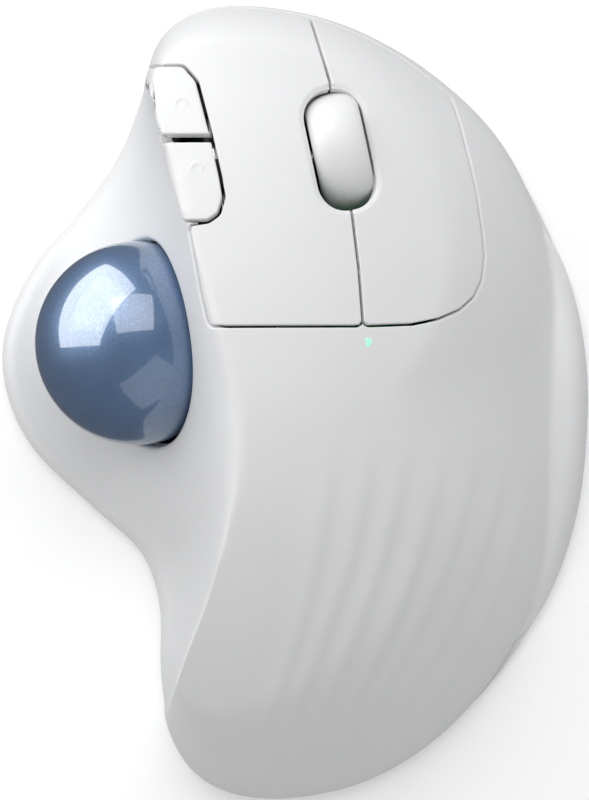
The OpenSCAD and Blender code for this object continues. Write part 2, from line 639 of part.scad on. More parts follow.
module sensor_lens() {
  color("lightcyan") to_ball(sensor_polar, sensor_turn) {
    translate([0, 0, seat]) cylinder(r = 2.9, h = 1);
    translate([0, 0, seat - 2]) cylinder(r = 2.4, h = 2.1);
  }
}
module optical_sensor() {
  color("black") to_ball(sensor_polar, sensor_turn) translate([-3.6, -2.9, seat + 1]) cube([7.2, 5.8, 1.8]);
}
sensor_deck = cup_r + 3.4;
module sensor_board() {
  color("darkgreen") to_ball(sensor_polar, sensor_turn) difference() {
    translate([-4.6, -6.2, sensor_deck]) cube([9.2, 12.4, 1]);
    for (s = [-1, 1]) translate([0, s * 4.6, sensor_deck - 1]) cylinder(r = 0.85, h = 3);
  }
}
module sensor_screws() {
  color("silver") to_ball(sensor_polar, sensor_turn)
    for (s = [-1, 1]) translate([0, s * 4.6, sensor_deck + 1]) bolt(3, 0.72, 1.5, 0.9);
}
// The ribbon's route, from the edge of the sensor's board to its socket on the main board.
sensor_far = (sensor_deck + 0.5) * sin(sensor_polar);
sensor_xy = [ball_at[0] + sensor_far * cos(sensor_turn), ball_at[1] + sensor_far * sin(sensor_turn)];
ribbon = [sensor_xy + [4.8, 4.5], sensor_xy + [4.4, 7], sensor_xy + [5, 14.8], at(-7.6, 18),
          at(-6.6, 24.4)];
module sensor_ribbon() {
  color("darkorange") for (i = [0:len(ribbon) - 2])
    hull() {
      translate([ribbon[i][0], ribbon[i][1], deck + 3.2]) cylinder(r = 0.15, h = 4, $fn = 8);
      translate([ribbon[i + 1][0], ribbon[i + 1][1], deck + 3.2]) cylinder(r = 0.15, h = 4, $fn = 8);
    }
}
module cup_screws() {
  color("silver") for (p = cup_pts) translate([p[0], p[1], tab_z + 2]) bolt(4.2, screw_r, 1.8, 1.1);
}

// ---- Electronics -----------------------------------------------------------
board_edge = placed([[-9.5, 22], [5, 22], [5, 9], [18, 9], [18, 22], [30, 22], [30, 41],
                     [24.8, 49.8], [15, 54.5], [4, 58], [-9.5, 58]]);
module main_board() {
  color("darkgreen") translate([0, 0, board_z]) difference() {
    linear_extrude(board_t) polygon(board_edge);
    for (p = board_pts) translate([p[0], p[1], -1]) cylinder(r = 1, h = 4);
  }
}
module board_chips() {
  color("black") {
    translate([at(-4.5, 26)[0], at(-4.5, 26)[1], deck]) cube([7, 7, 1]);
    translate([at(19.5, 31)[0], at(19.5, 31)[1], deck]) cube([5, 5, 1]);
  }
  color("ivory") translate([at(-6.6, 26)[0] - 2.2, at(-6.6, 26)[1] - 1.5, deck]) cube([4, 3, 3.1]);
}
module micro_switch(x) {
  translate([x - 2.9, press_y - 8.6, deck]) color("dimgray") cube([5.8, 12, 6.5]);
  translate([x - 1.3, press_y - 1, deck]) color("firebrick") cube([2.6, 2, switch_h]);
}
module left_switch() { micro_switch(left_x); }
module right_switch() { micro_switch(right_x); }
module middle_switch() {
  to_wheel() translate([0, 4.5, deck - wheel_z]) {
    color("dimgray") translate([-3, -3, 0]) cube([6, 6, 3.6]);
    color("black") cylinder(r = 1.7, h = 5);
  }
}
pipe_at = at(12, 10);
pipe_top = top_z(pipe_at[0], pipe_at[1]) + 0.05;
module status_led() {
  color("limegreen") translate([pipe_at[0], pipe_at[1], deck]) {
    translate([-1.6, -0.9, 0]) cube([3.2, 1.8, 0.8]);
    cylinder(r = 0.8, h = 1.4);
  }
}
module light_pipe() {
  color("honeydew") translate([pipe_at[0], pipe_at[1], deck + 1.6]) {
    cylinder(r = 0.65, h = pipe_top - deck - 1.6);
    translate([0, 0, pipe_top - deck - 1.6 - shell_t - 2.2]) cylinder(r = 1.5, h = 1.4);
  }
}
module power_board() {
  color("darkgreen") difference() {
    translate([power_at[0] - 5.6, panel_y - panel_reach - 2.6, panel_z])
      cube([10, 2 * panel_reach + 5.2, board_t]);
    for (p = panel_pts) translate([p[0], p[1], panel_z - 1]) cylinder(r = 1, h = 4);
  }
}
module slide_switch() {
  color("silver") translate([power_at[0], power_at[1], 0]) difference() {
    translate([-2.4, -5, panel_z - 3.4]) cube([4.8, 10, 3.4]);
    translate([-0.9, -3.7, panel_z - 4]) cube([1.8, 7.4, 2.2]);
  }
}
power_travel = 4;
module power_slider() {
  color("black") translate([power_at[0], power_at[1] - power_travel / 2, 0]) {
    translate([-1.7, -2.1, base_z + 0.1]) cube([3.4, 4.2, floor_z - base_z + 0.2]);
    translate([-2.35, -3.2, floor_z + 0.1]) cube([4.7, 6.4, 0.9]);
    translate([-0.6, -1.4, floor_z + 0.9]) cube([1.2, 2.8, panel_z - 2.3 - floor_z - 0.9]);
  }
}
module connect_switch() {
  color("dimgray") translate([connect_at[0], connect_at[1], 0]) {
    translate([-2.6, -2.6, panel_z - 2]) cube([5.2, 5.2, 2]);
    translate([0, 0, panel_z - 3]) cylinder(r = 1.2, h = 1.5);
  }
}
module connect_button() {
  color("gray") translate([connect_at[0], connect_at[1], 0]) {
    translate([0, 0, base_z + 0.2]) cylinder(r = 2.2, h = floor_z - base_z);
    translate([0, 0, floor_z + 0.1]) cylinder(r = 3.2, h = 0.9);
    translate([0, 0, floor_z + 0.9]) cylinder(r = 1, h = panel_z - 3.56 - floor_z - 0.9);
  }
}

// ---- Battery and receiver --------------------------------------------------
cell_y = bay_c[1] + bay_hl - 0.7;   // tip of the cell
module battery_cell() {
  color("goldenrod") translate([cell_at[0], cell_y, cell_at[2]]) rotate([90, 0, 0]) {
    cylinder(r = 2.7, h = 3);
    translate([0, 0, 1]) cylinder(d = cell_d, h = cell_l - 1);
  }
}
module battery_plate() {
  color("silver") translate([cell_at[0] - 5, bay_c[1] + bay_hl - 0.6, floor_z + 1]) cube([10, 0.5, 8.5]);
}
spring_l = 2 * bay_hl - cell_l - 1.4;
wire_r = 0.4;
// Point k of 36 along the conical coil, from its base.
module coil_point(k) {
  rise = wire_r - 0.05 + k / 36 * (spring_l - 2 * wire_r - 0.1);
  rotate(k * 30) translate([4.6 - 0.05 * k, 0, rise]) sphere(r = wire_r, $fn = 6);
}
module battery_spring() {
  color("silver") {
    translate([cell_at[0] - 5, bay_c[1] - bay_hl + 0.1, floor_z + 1]) cube([10, 0.5, 8.5]);
    translate([cell_at[0], bay_c[1] - bay_hl + 0.6, cell_at[2]]) rotate([-90, 0, 0])
      for (k = [0:35]) hull() {
        coil_point(k);
        coil_point(k + 1);
      }
  }
}
module battery_door() {
  color("gainsboro") difference() {
    intersection() {
      union() {
        translate([bay_c[0] - bay_hw - 0.2, -100 * sy, base_z])
          cube([2 * bay_hw + 0.4, 100 * sy + bay_c[1] + bay_hl + 0.9, 0.6]);
        translate([bay_c[0] - bay_hw - 1.1, -100 * sy, base_z + 0.5])
          cube([2 * bay_hw + 2.2, 100 * sy + bay_c[1] + bay_hl + 0.9, door_t - 0.5]);
      }
      translate([0, 0, base_z - 1]) linear_extrude(5) footprint(0.7);
    }
    for (i = [0:3]) translate([bay_c[0] - 6, bay_c[1] + bay_hl - 8 - i * 2, base_z - 0.7])
      cube([12, 0.8, 1]);
  }
}
module usb_receiver() {
  x = bay_c[0] - bay_hw + 0.6;
  color("dimgray") translate([x, bay_c[1] + bay_hl - 8, base_z + door_t + 0.4]) cube([recv_t, 7, 12.6]);
  color("silver") translate([x + 0.8, bay_c[1] + bay_hl - 20, base_z + door_t + 0.9])
    cube([4.5, 12.1, 11.6]);
}

// ---- Feet and screws -------------------------------------------------------
// Glide pads: x, y, length between the round ends, turn.
pads = [[-4, 57.5, 16, 0], [38.5, -17, 12, 72], [-39, 7, 10, 90], [-14, -51, 9, 90],
        [27, -46.5, 9, 42]];
module feet() {
  color("lightsteelblue") for (p = pads) translate([p[0] * sx, p[1] * sy, 0]) rotate(p[3]) {
    for (s = [-1, 1]) translate([s * p[2] / 2, 0, 0]) cylinder(r = 3, h = foot_t);
    translate([-p[2] / 2, -3, 0]) cube([p[2], 6, foot_t]);
  }
}
module case_screws() {
  color("silver") for (p = case_pts)
    translate([p[0], p[1], base_z + 1.1]) rotate([180, 0, 0]) bolt(7, 1, 2, 1);
}
module board_screws() {
  color("silver") {
    for (p = board_pts) translate([p[0], p[1], deck]) bolt(3.6, screw_r, 1.8, 1.1);
    for (p = panel_pts) translate([p[0], p[1], panel_z + board_t]) bolt(4, screw_r, 1.8, 1.1);
  }
}
module frame_screws() {
  color("silver") for (x = leg_bolts)
    translate([x, pivot_y + 1.2, floor_z + 2]) bolt(3, screw_r, 1.6, 1.1);
}

base_plate();
top_shell();
left_button();
right_button();
forward_button();
back_button();
left_arm();
right_arm();
forward_hinge();
back_hinge();
key_frame();
key_pins();
side_frame();
side_pin();
side_switch_board();
side_switches();
wheel_tyre();
wheel_hub();
wheel_axle();
wheel_encoder();
wheel_carrier();
wheel_stand();
trackball();
ball_cup();
ball_beads();
sensor_lens();
optical_sensor();
sensor_board();
sensor_ribbon();
cup_screws();
sensor_screws();
main_board();
board_chips();
left_switch();
right_switch();
middle_switch();
status_led();
light_pipe();
power_board();
slide_switch();
power_slider();
connect_switch();
connect_button();
battery_cell();
battery_spring();
battery_plate();
battery_door();
usb_receiver();
feet();
case_screws();
board_screws();
frame_screws();
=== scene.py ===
"""Looks of a thumb-operated trackball mouse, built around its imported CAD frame.

The outer skin is one smooth surface described by a footprint, a hump, a hollowed thumb
side and a few soft features. It is unrolled flat, triangulated along every seam, and rolled
back into closed plates: shell, main buttons and thumb buttons.
"""

import logging
import math
from dataclasses import dataclass, field
from enum import Enum
from typing import Sequence

import bmesh
import bpy
import numpy as np
from mathutils import Matrix, Quaternion, Vector, geometry
from mathutils.kdtree import KDTree


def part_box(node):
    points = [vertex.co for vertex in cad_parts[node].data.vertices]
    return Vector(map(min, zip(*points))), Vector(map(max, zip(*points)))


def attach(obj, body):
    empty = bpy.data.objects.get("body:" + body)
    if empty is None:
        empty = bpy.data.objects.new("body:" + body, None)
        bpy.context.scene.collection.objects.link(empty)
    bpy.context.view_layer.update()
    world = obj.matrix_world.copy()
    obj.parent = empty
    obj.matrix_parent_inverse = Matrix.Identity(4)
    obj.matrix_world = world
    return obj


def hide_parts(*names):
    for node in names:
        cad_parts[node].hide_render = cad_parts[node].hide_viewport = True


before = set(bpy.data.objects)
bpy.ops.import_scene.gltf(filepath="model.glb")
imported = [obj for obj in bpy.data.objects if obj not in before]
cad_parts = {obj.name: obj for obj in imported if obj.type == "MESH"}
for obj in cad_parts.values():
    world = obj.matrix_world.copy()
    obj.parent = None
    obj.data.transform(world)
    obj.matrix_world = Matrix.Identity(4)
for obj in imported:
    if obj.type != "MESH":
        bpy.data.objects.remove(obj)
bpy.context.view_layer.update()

logging.basicConfig(level=logging.INFO, format="%(name)s: %(message)s")
LOG = logging.getLogger("trackball_mouse")
MM = 0.001
Array = np.ndarray
Node = bpy.types.Node
Socket = bpy.types.NodeSocket
Painted = tuple[Socket, Socket]


# ---------------------------------------------------------------------------
# Curves
# ---------------------------------------------------------------------------
def catmull(points: Sequence[Sequence[float]], steps: int, closed: bool) -> Array:
    """Passes a smooth curve through points.

    Args:
        points: Control points, any number of columns.
        steps: Samples per span.
        closed: Whether the curve joins its own start.

    Returns:
        The sampled curve, one row per sample.
    """
    c = np.asarray(points, float)
    if not closed:
        c = np.vstack([2 * c[0] - c[1], c, 2 * c[-1] - c[-2]])
    n = len(c)
    spans = range(n) if closed else range(1, n - 2)
    t = np.linspace(0, 1, steps, endpoint=False)[:, None]
    rows = []
    for i in spans:
        a, b, d, e = c[(i - 1) % n], c[i % n], c[(i + 1) % n], c[(i + 2) % n]
        rows.append(0.5 * (2 * b + (d - a) * t + (2 * a - 5 * b + 4 * d - e) * t**2
                           + (3 * b - a - 3 * d + e) * t**3))
    if not closed:
        rows.append(c[-2][None])
    return np.vstack(rows)


def resample(line: Array, step: float, closed: bool) -> Array:
    """Spaces the points of a line evenly.

    Args:
        line: Points of the line.
        step: Wanted spacing.
        closed: Whether the last point joins the first.

    Returns:
        The evenly spaced line, without a repeated last point if closed.
    """
    pts = np.vstack([line, line[:1]]) if closed else line
    run = np.concatenate([[0], np.cumsum(np.linalg.norm(np.diff(pts, axis=0), axis=1))])
    count = max(int(round(run[-1] / step)), 4)
    at = np.linspace(0, run[-1], count + 1)
    out = np.column_stack([np.interp(at, run, pts[:, k]) for k in range(pts.shape[1])])
    return out[:-1] if closed else out


def fillet(points: Sequence[Sequence[float]], radius: float, step: float = 0.45) -> Array:
    """Rounds every corner of a closed outline and spaces its points evenly.

    Args:
        points: Corners of the outline.
        radius: Radius at each corner, less where a side is short.
        step: Spacing of the result.

    Returns:
        The rounded outline.
    """
    p = np.asarray(points, float)
    n = len(p)
    rows = []
    t = np.linspace(0, 1, 9)[:, None]
    for i in range(n):
        a, b, c = p[i - 1], p[i], p[(i + 1) % n]
        la, lc = np.linalg.norm(a - b), np.linalg.norm(c - b)
        turn = math.acos(max(-1.0, min(1.0, float(np.dot(a - b, c - b) / la / lc))))
        cut = radius / max(math.tan(turn / 2), 0.05)
        s = b + (a - b) / la * min(cut, 0.48 * la)
        e = b + (c - b) / lc * min(cut, 0.48 * lc)
        rows.append((1 - t) ** 2 * s + 2 * t * (1 - t) * b + t**2 * e)
    return resample(np.vstack(rows), step, True)


def offset(loop: Array, distance: float) -> Array:
    """Moves a closed outline sideways; positive grows it.

    Args:
        loop: Evenly spaced outline.
        distance: How far to move it.

    Returns:
        The moved outline.
    """
    area = np.sum(loop[:, 0] * np.roll(loop[:, 1], -1) - loop[:, 1] * np.roll(loop[:, 0], -1))
    tangent = np.roll(loop, -1, axis=0) - np.roll(loop, 1, axis=0)
    tangent /= np.maximum(np.linalg.norm(tangent, axis=1), 1e-9)[:, None]
    normal = np.column_stack([tangent[:, 1], -tangent[:, 0]]) * (1 if area > 0 else -1)
    return loop + normal * distance


def inside(loop: Array, x: Array, y: Array) -> Array:
    """Tells which points lie inside a closed outline.

    Args:
        loop: Closed outline.
        x: First coordinate of each point.
        y: Second coordinate of each point.

    Returns:
        True for each point inside.
    """
    hit = np.zeros(len(x), bool)
    for (ax, ay), (bx, by) in zip(loop, np.roll(loop, -1, axis=0)):
        cross = (ay > y) != (by > y)
        if cross.any():
            at = (bx - ax) * (y - ay) / (by - ay if by != ay else 1e-12) + ax
            hit ^= cross & (x < at)
    return hit


def smin(a: Array, b: Array, k: Array | float) -> Array:
    """Smooth minimum of two heights with a blend of width k."""
    h = np.maximum(k - np.abs(a - b), 0) / k
    return np.minimum(a, b) - h * h * k / 4


def smax(a: Array, b: Array, k: Array | float) -> Array:
    """Smooth maximum of two heights with a blend of width k."""
    return -smin(-a, -b, k)


def ease(t: Array) -> Array:
    """Smooth step from 0 to 1."""
    t = np.clip(t, 0, 1)
    return t * t * (3 - 2 * t)


# ---------------------------------------------------------------------------
# The outer surface
# ---------------------------------------------------------------------------
@dataclass(frozen=True)
class Shape:
    """Sizes of the body, in millimetres."""

    hub: tuple[float, float] = (2.0, 0.0)
    crown: float = 48.35
    hump_y: float = 3.0
    ridge_x: float = -8.0
    front_fall: float = 0.0045
    back_fall: float = 0.0066
    side_fall: float = 0.0085
    edge_height: float = 5.0
    hollow: float = 2.1
    # blend of the fold between palm and thumb side: least, extra, where and how far along y
    fold: tuple[float, float, float, float] = (2.4, 5.5, -2.0, 17.0)
    # rise of the finger shelf per its width, and width of its roll-over
    shelf_rise: float = 1.4
    shelf_roll: float = 3.0
    pleat_height: float = 0.85
    skirt: float = 2.2
    key_skirt: float = 13.0
    band_top: float = 11.6
    # x, y, width of the edge's roll-over, width of the finger shelf
    footprint: tuple[tuple[float, float, float, float], ...] = (
        (-8, 67, 8, 0), (4, 65.2, 9, 0), (14.5, 61, 10, 0), (24.5, 54.5, 13, 0),
        (34, 45.2, 17, 0), (41.4, 33.5, 22, 1), (46.5, 21, 26, 3.5), (49.1, 8, 28, 6),
        (49.3, -5, 28, 6.5), (47.6, -19, 28, 5.5), (43, -33, 27, 3), (35, -46, 26, 1),
        (24, -57, 25, 0), (11, -64.5, 24, 0), (-4, -67, 20, 0), (-15, -64, 14, 0),
        (-21, -56, 7, 0), (-22.8, -45, 3, 0), (-22.8, -35, 2.5, 0), (-26, -25.5, 2.5, 0),
        (-35, -17, 2.5, 0), (-44.5, -7.5, 2.5, 0), (-49, 2.5, 2.5, 0), (-49, 12.5, 2.5, 0),
        (-44, 23.5, 2.5, 0), (-36, 33, 2.5, 0), (-29.5, 42.5, 2.5, 0), (-25.5, 53, 3, 0),
        (-23, 61, 4.5, 0), (-17, 65.8, 6.5, 0))
    # x of the fold between thumb side and palm, at y = -75, -60 ... 60, 75
    crest: tuple[float, ...] = (-29, -24, -19.3, -13.8, -10.8, -11.2, -14.2, -17.9, -21.9, -27, -32)
    crest_start: float = -75.0
    crest_step: float = 15.0


@dataclass(frozen=True)
class Pleat:
    """One soft fold of the palm, as a line from front to back."""

    line: tuple[tuple[float, float], ...]


PLEATS: tuple[Pleat, ...] = (
    Pleat(((5.5, -12), (3.5, -25), (0.5, -38), (-4, -52))),
    Pleat(((11.6, -12), (9.4, -25.3), (5.2, -37), (-0.5, -53.8))),
    Pleat(((17.9, -8), (16.0, -19), (11.5, -34), (4.4, -53))),
    Pleat(((24.1, -6), (22.4, -18), (17.5, -34), (8.2, -54))),
    Pleat(((30.0, -4), (28.5, -15), (23.4, -31), (12.2, -53))),
    Pleat(((35.0, -10), (32.3, -21), (27.0, -35), (16.8, -52))),
    Pleat(((39.0, -14), (36.0, -25), (30.4, -39), (21.5, -53))))


class Surface:
    """Height of the outer skin, and its map to an unrolled flat sheet."""

    TURNS = 1440
    DEPTHS = 420
    STEPS = 700

    def __init__(self, shape: Shape) -> None:
        """Samples the surface once, so that both maps are quick.

        Args:
            shape: Sizes of the body.
        """
        self.shape = shape
        self.hub = np.array(shape.hub)
        dense = catmull(shape.footprint, 24, True)
        rel = dense[:, :2] - self.hub
        turn = np.arctan2(rel[:, 1], rel[:, 0]) % (2 * math.pi)
        order = np.argsort(turn)
        self.turns = np.linspace(0, 2 * math.pi, self.TURNS, endpoint=False)
        columns = [np.linalg.norm(rel, axis=1), dense[:, 2], dense[:, 3]]
        sigmas = (5.0, 18.0, 18.0)
        self.table = [self._smooth(np.interp(self.turns, turn[order], c[order], period=2 * math.pi), s)
                      for c, s in zip(columns, sigmas)]
        y = np.arange(-70, 70.01, 0.5)
        edge = catmull(shape.footprint, 24, True)
        left = edge[(edge[:, 0] < -17) & (np.abs(edge[:, 1]) < 57)]
        left = left[np.argsort(left[:, 1])]
        self.edge_y = y
        self.edge_x = np.convolve(np.pad(np.interp(y, left[:, 1], left[:, 0]), 6, mode="edge"),
                                  self._kernel(3.0, 6), mode="valid")
        crest = catmull([(shape.crest_start + i * shape.crest_step, x)
                         for i, x in enumerate(shape.crest)], 20, False)
        self.crest_line = crest
        depth = np.linspace(0, 1, self.DEPTHS + 1) ** 2
        t = self.turns[:, None]
        d = self.lookup(0, self.turns)[:, None] * depth[None, :]
        self.z = self.height(t, d)
        run = np.hypot(np.diff(d, axis=1), np.diff(self.z, axis=1))
        self.arc = np.concatenate([np.zeros((self.TURNS, 1)), np.cumsum(run, axis=1)], axis=1)
        self.total = self.arc[:, -1]
        steps = np.linspace(0, 1, self.STEPS + 1)
        self.back = np.array([np.interp(steps * row[-1], row, np.arange(self.DEPTHS + 1))
                              for row in self.arc])

    @staticmethod
    def _kernel(sigma: float, half: int) -> Array:
        """Weights of a bell curve that reaches half steps each way."""
        k = np.exp(-0.5 * (np.arange(-half, half + 1) / sigma) ** 2)
        return k / k.sum()

    def _smooth(self, values: Array, sigma: float) -> Array:
        """Smooths values that run round a circle.

        Args:
            values: One value per turn step.
            sigma: Width of the bell curve, in steps.

        Returns:
            The smoothed values.
        """
        half = int(3 * sigma)
        padded = np.concatenate([values[-half:], values, values[:half]])
        return np.convolve(padded, self._kernel(sigma, half), mode="valid")

    def lookup(self, column: int, turn: Array) -> Array:
        """Radius (0), roll width (1) or shelf width (2) of the footprint at an angle."""
        return np.interp(turn % (2 * math.pi), self.turns, self.table[column], period=2 * math.pi)

    def dome(self, x: Array, y: Array) -> Array:
        """Height of the plain hump, with no edges.

        Args:
            x: First plan coordinate.
            y: Second plan coordinate.

        Returns:
            Height over each point.
        """
        s = self.shape
        fall = np.where(y > s.hump_y, s.front_fall, s.back_fall)
        return s.crown - fall * (y - s.hump_y) ** 2 - s.side_fall * (x - s.ridge_x) ** 2

    def thumb_side(self, x: Array, y: Array) -> Array:
        """Height of the hollowed thumb side.

        Args:
            x: First plan coordinate.
            y: Second plan coordinate.

        Returns:
            Height over each point.
        """
        s = self.shape
        c = np.interp(y, self.crest_line[:, 0], self.crest_line[:, 1])
        w = np.maximum(c - np.interp(y, self.edge_y, self.edge_x), 1.0)
        f = np.maximum(1 - (c - x) / w, 0)
        return s.edge_height + (self.dome(c, y) - s.edge_height) * f**s.hollow

    def pleats(self, x: Array, y: Array) -> Array:
        """Height added by the soft folds of the palm.

        Args:
            x: First plan coordinate.
            y: Second plan coordinate.

        Returns:
            Added height over each point.
        """
        lines = []
        for p in PLEATS:
            c = catmull(p.line, 10, False)
            c = c[np.argsort(c[:, 1])]
            lines.append(np.interp(y, c[:, 1], c[:, 0]))
        add = np.zeros_like(x)
        fade = ease((-y - 3) / 16) * ease((y + 62) / 14)
        for i, line in enumerate(lines):
            gap = (lines[i + 1] - line) if i + 1 < len(lines) else (line - lines[i - 1])
            back = (line - lines[i - 1]) if i else gap
            rise = np.clip((x - line) / np.maximum(back, 1) + 1, 0, 1)
            drop = ease((x - line) / np.maximum(0.34 * gap, 0.5))
            add += np.where(x <= line, ease(rise) * rise, 1 - drop) * (0.55 + 0.07 * i)
        return self.shape.pleat_height * add * fade

    def height(self, turn: Array, depth: Array) -> Array:
        """Height of the skin.

        Args:
            turn: Angle about the hub.
            depth: Distance inwards from the footprint's edge.

        Returns:
            Height over each point.
        """
        r, w, shelf = (self.lookup(k, turn) for k in range(3))
        x = self.hub[0] + (r - depth) * np.cos(turn)
        y = self.hub[1] + (r - depth) * np.sin(turn)
        least, extra, middle, reach = self.shape.fold
        soft = least + extra * np.exp(-((y - middle) / reach) ** 2)
        base = smin(self.dome(x, y) + self.pleats(x, y), self.thumb_side(x, y), soft)
        f = np.clip((depth - shelf) / w, 0, 1)
        rolled = base * np.sqrt(1 - (1 - f) ** 2)
        g = np.clip(depth / self.shape.shelf_roll, 0, 1)
        ledge = self.shape.shelf_rise * shelf * np.sqrt(1 - (1 - g) ** 2)
        return smax(rolled, ledge, 2 + 0.9 * shelf)

    def polar(self, x: Array, y: Array) -> tuple[Array, Array]:
        """Angle about the hub and depth inside the edge of points in plan.

        Args:
            x: First plan coordinate.
            y: Second plan coordinate.

        Returns:
            Angle and depth of each point.
        """
        dx, dy = x - self.hub[0], y - self.hub[1]
        turn = np.arctan2(dy, dx) % (2 * math.pi)
        return turn, self.lookup(0, turn) - np.hypot(dx, dy)

    def _pick(self, table: Array, turn: Array, column: Array) -> Array:
        """Reads a table between its rows and columns.

        Args:
            table: One row per turn step.
            turn: Angle of each wanted value.
            column: Column of each wanted value, not always whole.

        Returns:
            The values between their four neighbours.
        """
        row = (turn / (2 * math.pi) * self.TURNS) % self.TURNS
        i = np.floor(row).astype(int)
        u = row - i
        j = np.clip(np.floor(column).astype(int), 0, table.shape[1] - 2)
        v = column - j
        i2 = (i + 1) % self.TURNS
        i %= self.TURNS
        return ((1 - u) * ((1 - v) * table[i, j] + v * table[i, j + 1])
                + u * ((1 - v) * table[i2, j] + v * table[i2, j + 1]))

    def unroll(self, x: Array, y: Array) -> Array:
        """Maps plan points to the flat sheet.

        Args:
            x: First plan coordinate.
            y: Second plan coordinate.

        Returns:
            Points of the flat sheet.
        """
        turn, depth = self.polar(x, y)
        depth = np.clip(depth, 0, None)
        column = self.DEPTHS * np.sqrt(np.clip(depth / self.lookup(0, turn), 0, 1))
        total = np.interp(turn, self.turns, self.total, period=2 * math.pi)
        rho = total - self._pick(self.arc, turn, column)
        return np.column_stack([rho * np.cos(turn), rho * np.sin(turn)])

    def roll_up(self, flat: Array) -> tuple[Array, Array]:
        """Maps the flat sheet back.

        Args:
            flat: Points of the flat sheet.

        Returns:
            Angle and depth of each point.
        """
        turn = np.arctan2(flat[:, 1], flat[:, 0]) % (2 * math.pi)
        total = np.interp(turn, self.turns, self.total, period=2 * math.pi)
        share = np.clip(1 - np.hypot(flat[:, 0], flat[:, 1]) / total, 0, 1)
        column = self._pick(self.back, turn, share * self.STEPS)
        return turn, self.lookup(0, turn) * (column / self.DEPTHS) ** 2

    def place(self, turn: Array, depth: Array) -> Array:
        """Puts points of the skin in space.

        Args:
            turn: Angle about the hub.
            depth: Distance inwards from the footprint's edge.

        Returns:
            One point in space per row.
        """
        r = self.lookup(0, turn) - depth
        return np.column_stack([self.hub[0] + r * np.cos(turn), self.hub[1] + r * np.sin(turn),
                                self.height(turn, depth)])

    def level(self, z: float, step: float) -> Array:
        """Finds the flat-sheet line where the skin first reaches a height.

        Args:
            z: The height.
            step: Spacing of the line's points.

        Returns:
            The closed line.
        """
        first = np.argmax(self.z >= z, axis=1)
        rows = np.arange(self.TURNS)
        before = np.maximum(first - 1, 0)
        za, zb = self.z[rows, before], self.z[rows, first]
        t = np.where(first > 0, (z - za) / np.maximum(zb - za, 1e-9), 0)
        arc = self.arc[rows, before] * (1 - t) + self.arc[rows, first] * t
        rho = self.total - arc
        line = np.column_stack([rho * np.cos(self.turns), rho * np.sin(self.turns)])
        return resample(line, step, True)


# ---------------------------------------------------------------------------
# Seams and openings, in plan
# ---------------------------------------------------------------------------
SPLIT = [(1.6, 74), (2.4, 65.4), (4.3, 59), (5.9, 53.4), (8.0, 42), (9.5, 32.1), (10.7, 22), (11.4, 12.7)]
RIGHT_SEAM = [(11.4, 12.7), (19.5, 13), (24, 13.9), (27.5, 15.4), (29.9, 17.6), (31.2, 20.4),
              (31.7, 24.5), (31.2, 29.5), (30.4, 35), (29.3, 40.1), (27.6, 47), (25.4, 54), (22, 74)]
SIDE_RIM = [(-18.4, 56), (-16.1, 53.4), (-13.8, 44.6), (-12.2, 37.5), (-11.6, 34),
            (-12.4, 31.2), (-14.2, 29.9)]
LEFT_SEAM = [(-36, 74), (-36, 56)] + SIDE_RIM + [(-17.6, 29.4), (-15.4, 17.5), (-14.2, 12.6)]
MARKS = ((-18.7, 49.4), (-16.1, 38.6))
SIDE_OPENING = [(-23.9, 56)] + SIDE_RIM + [(-18.6, 29.8), (-20.7, 37), (-22.3, 43.4), (-23.3, 49)]


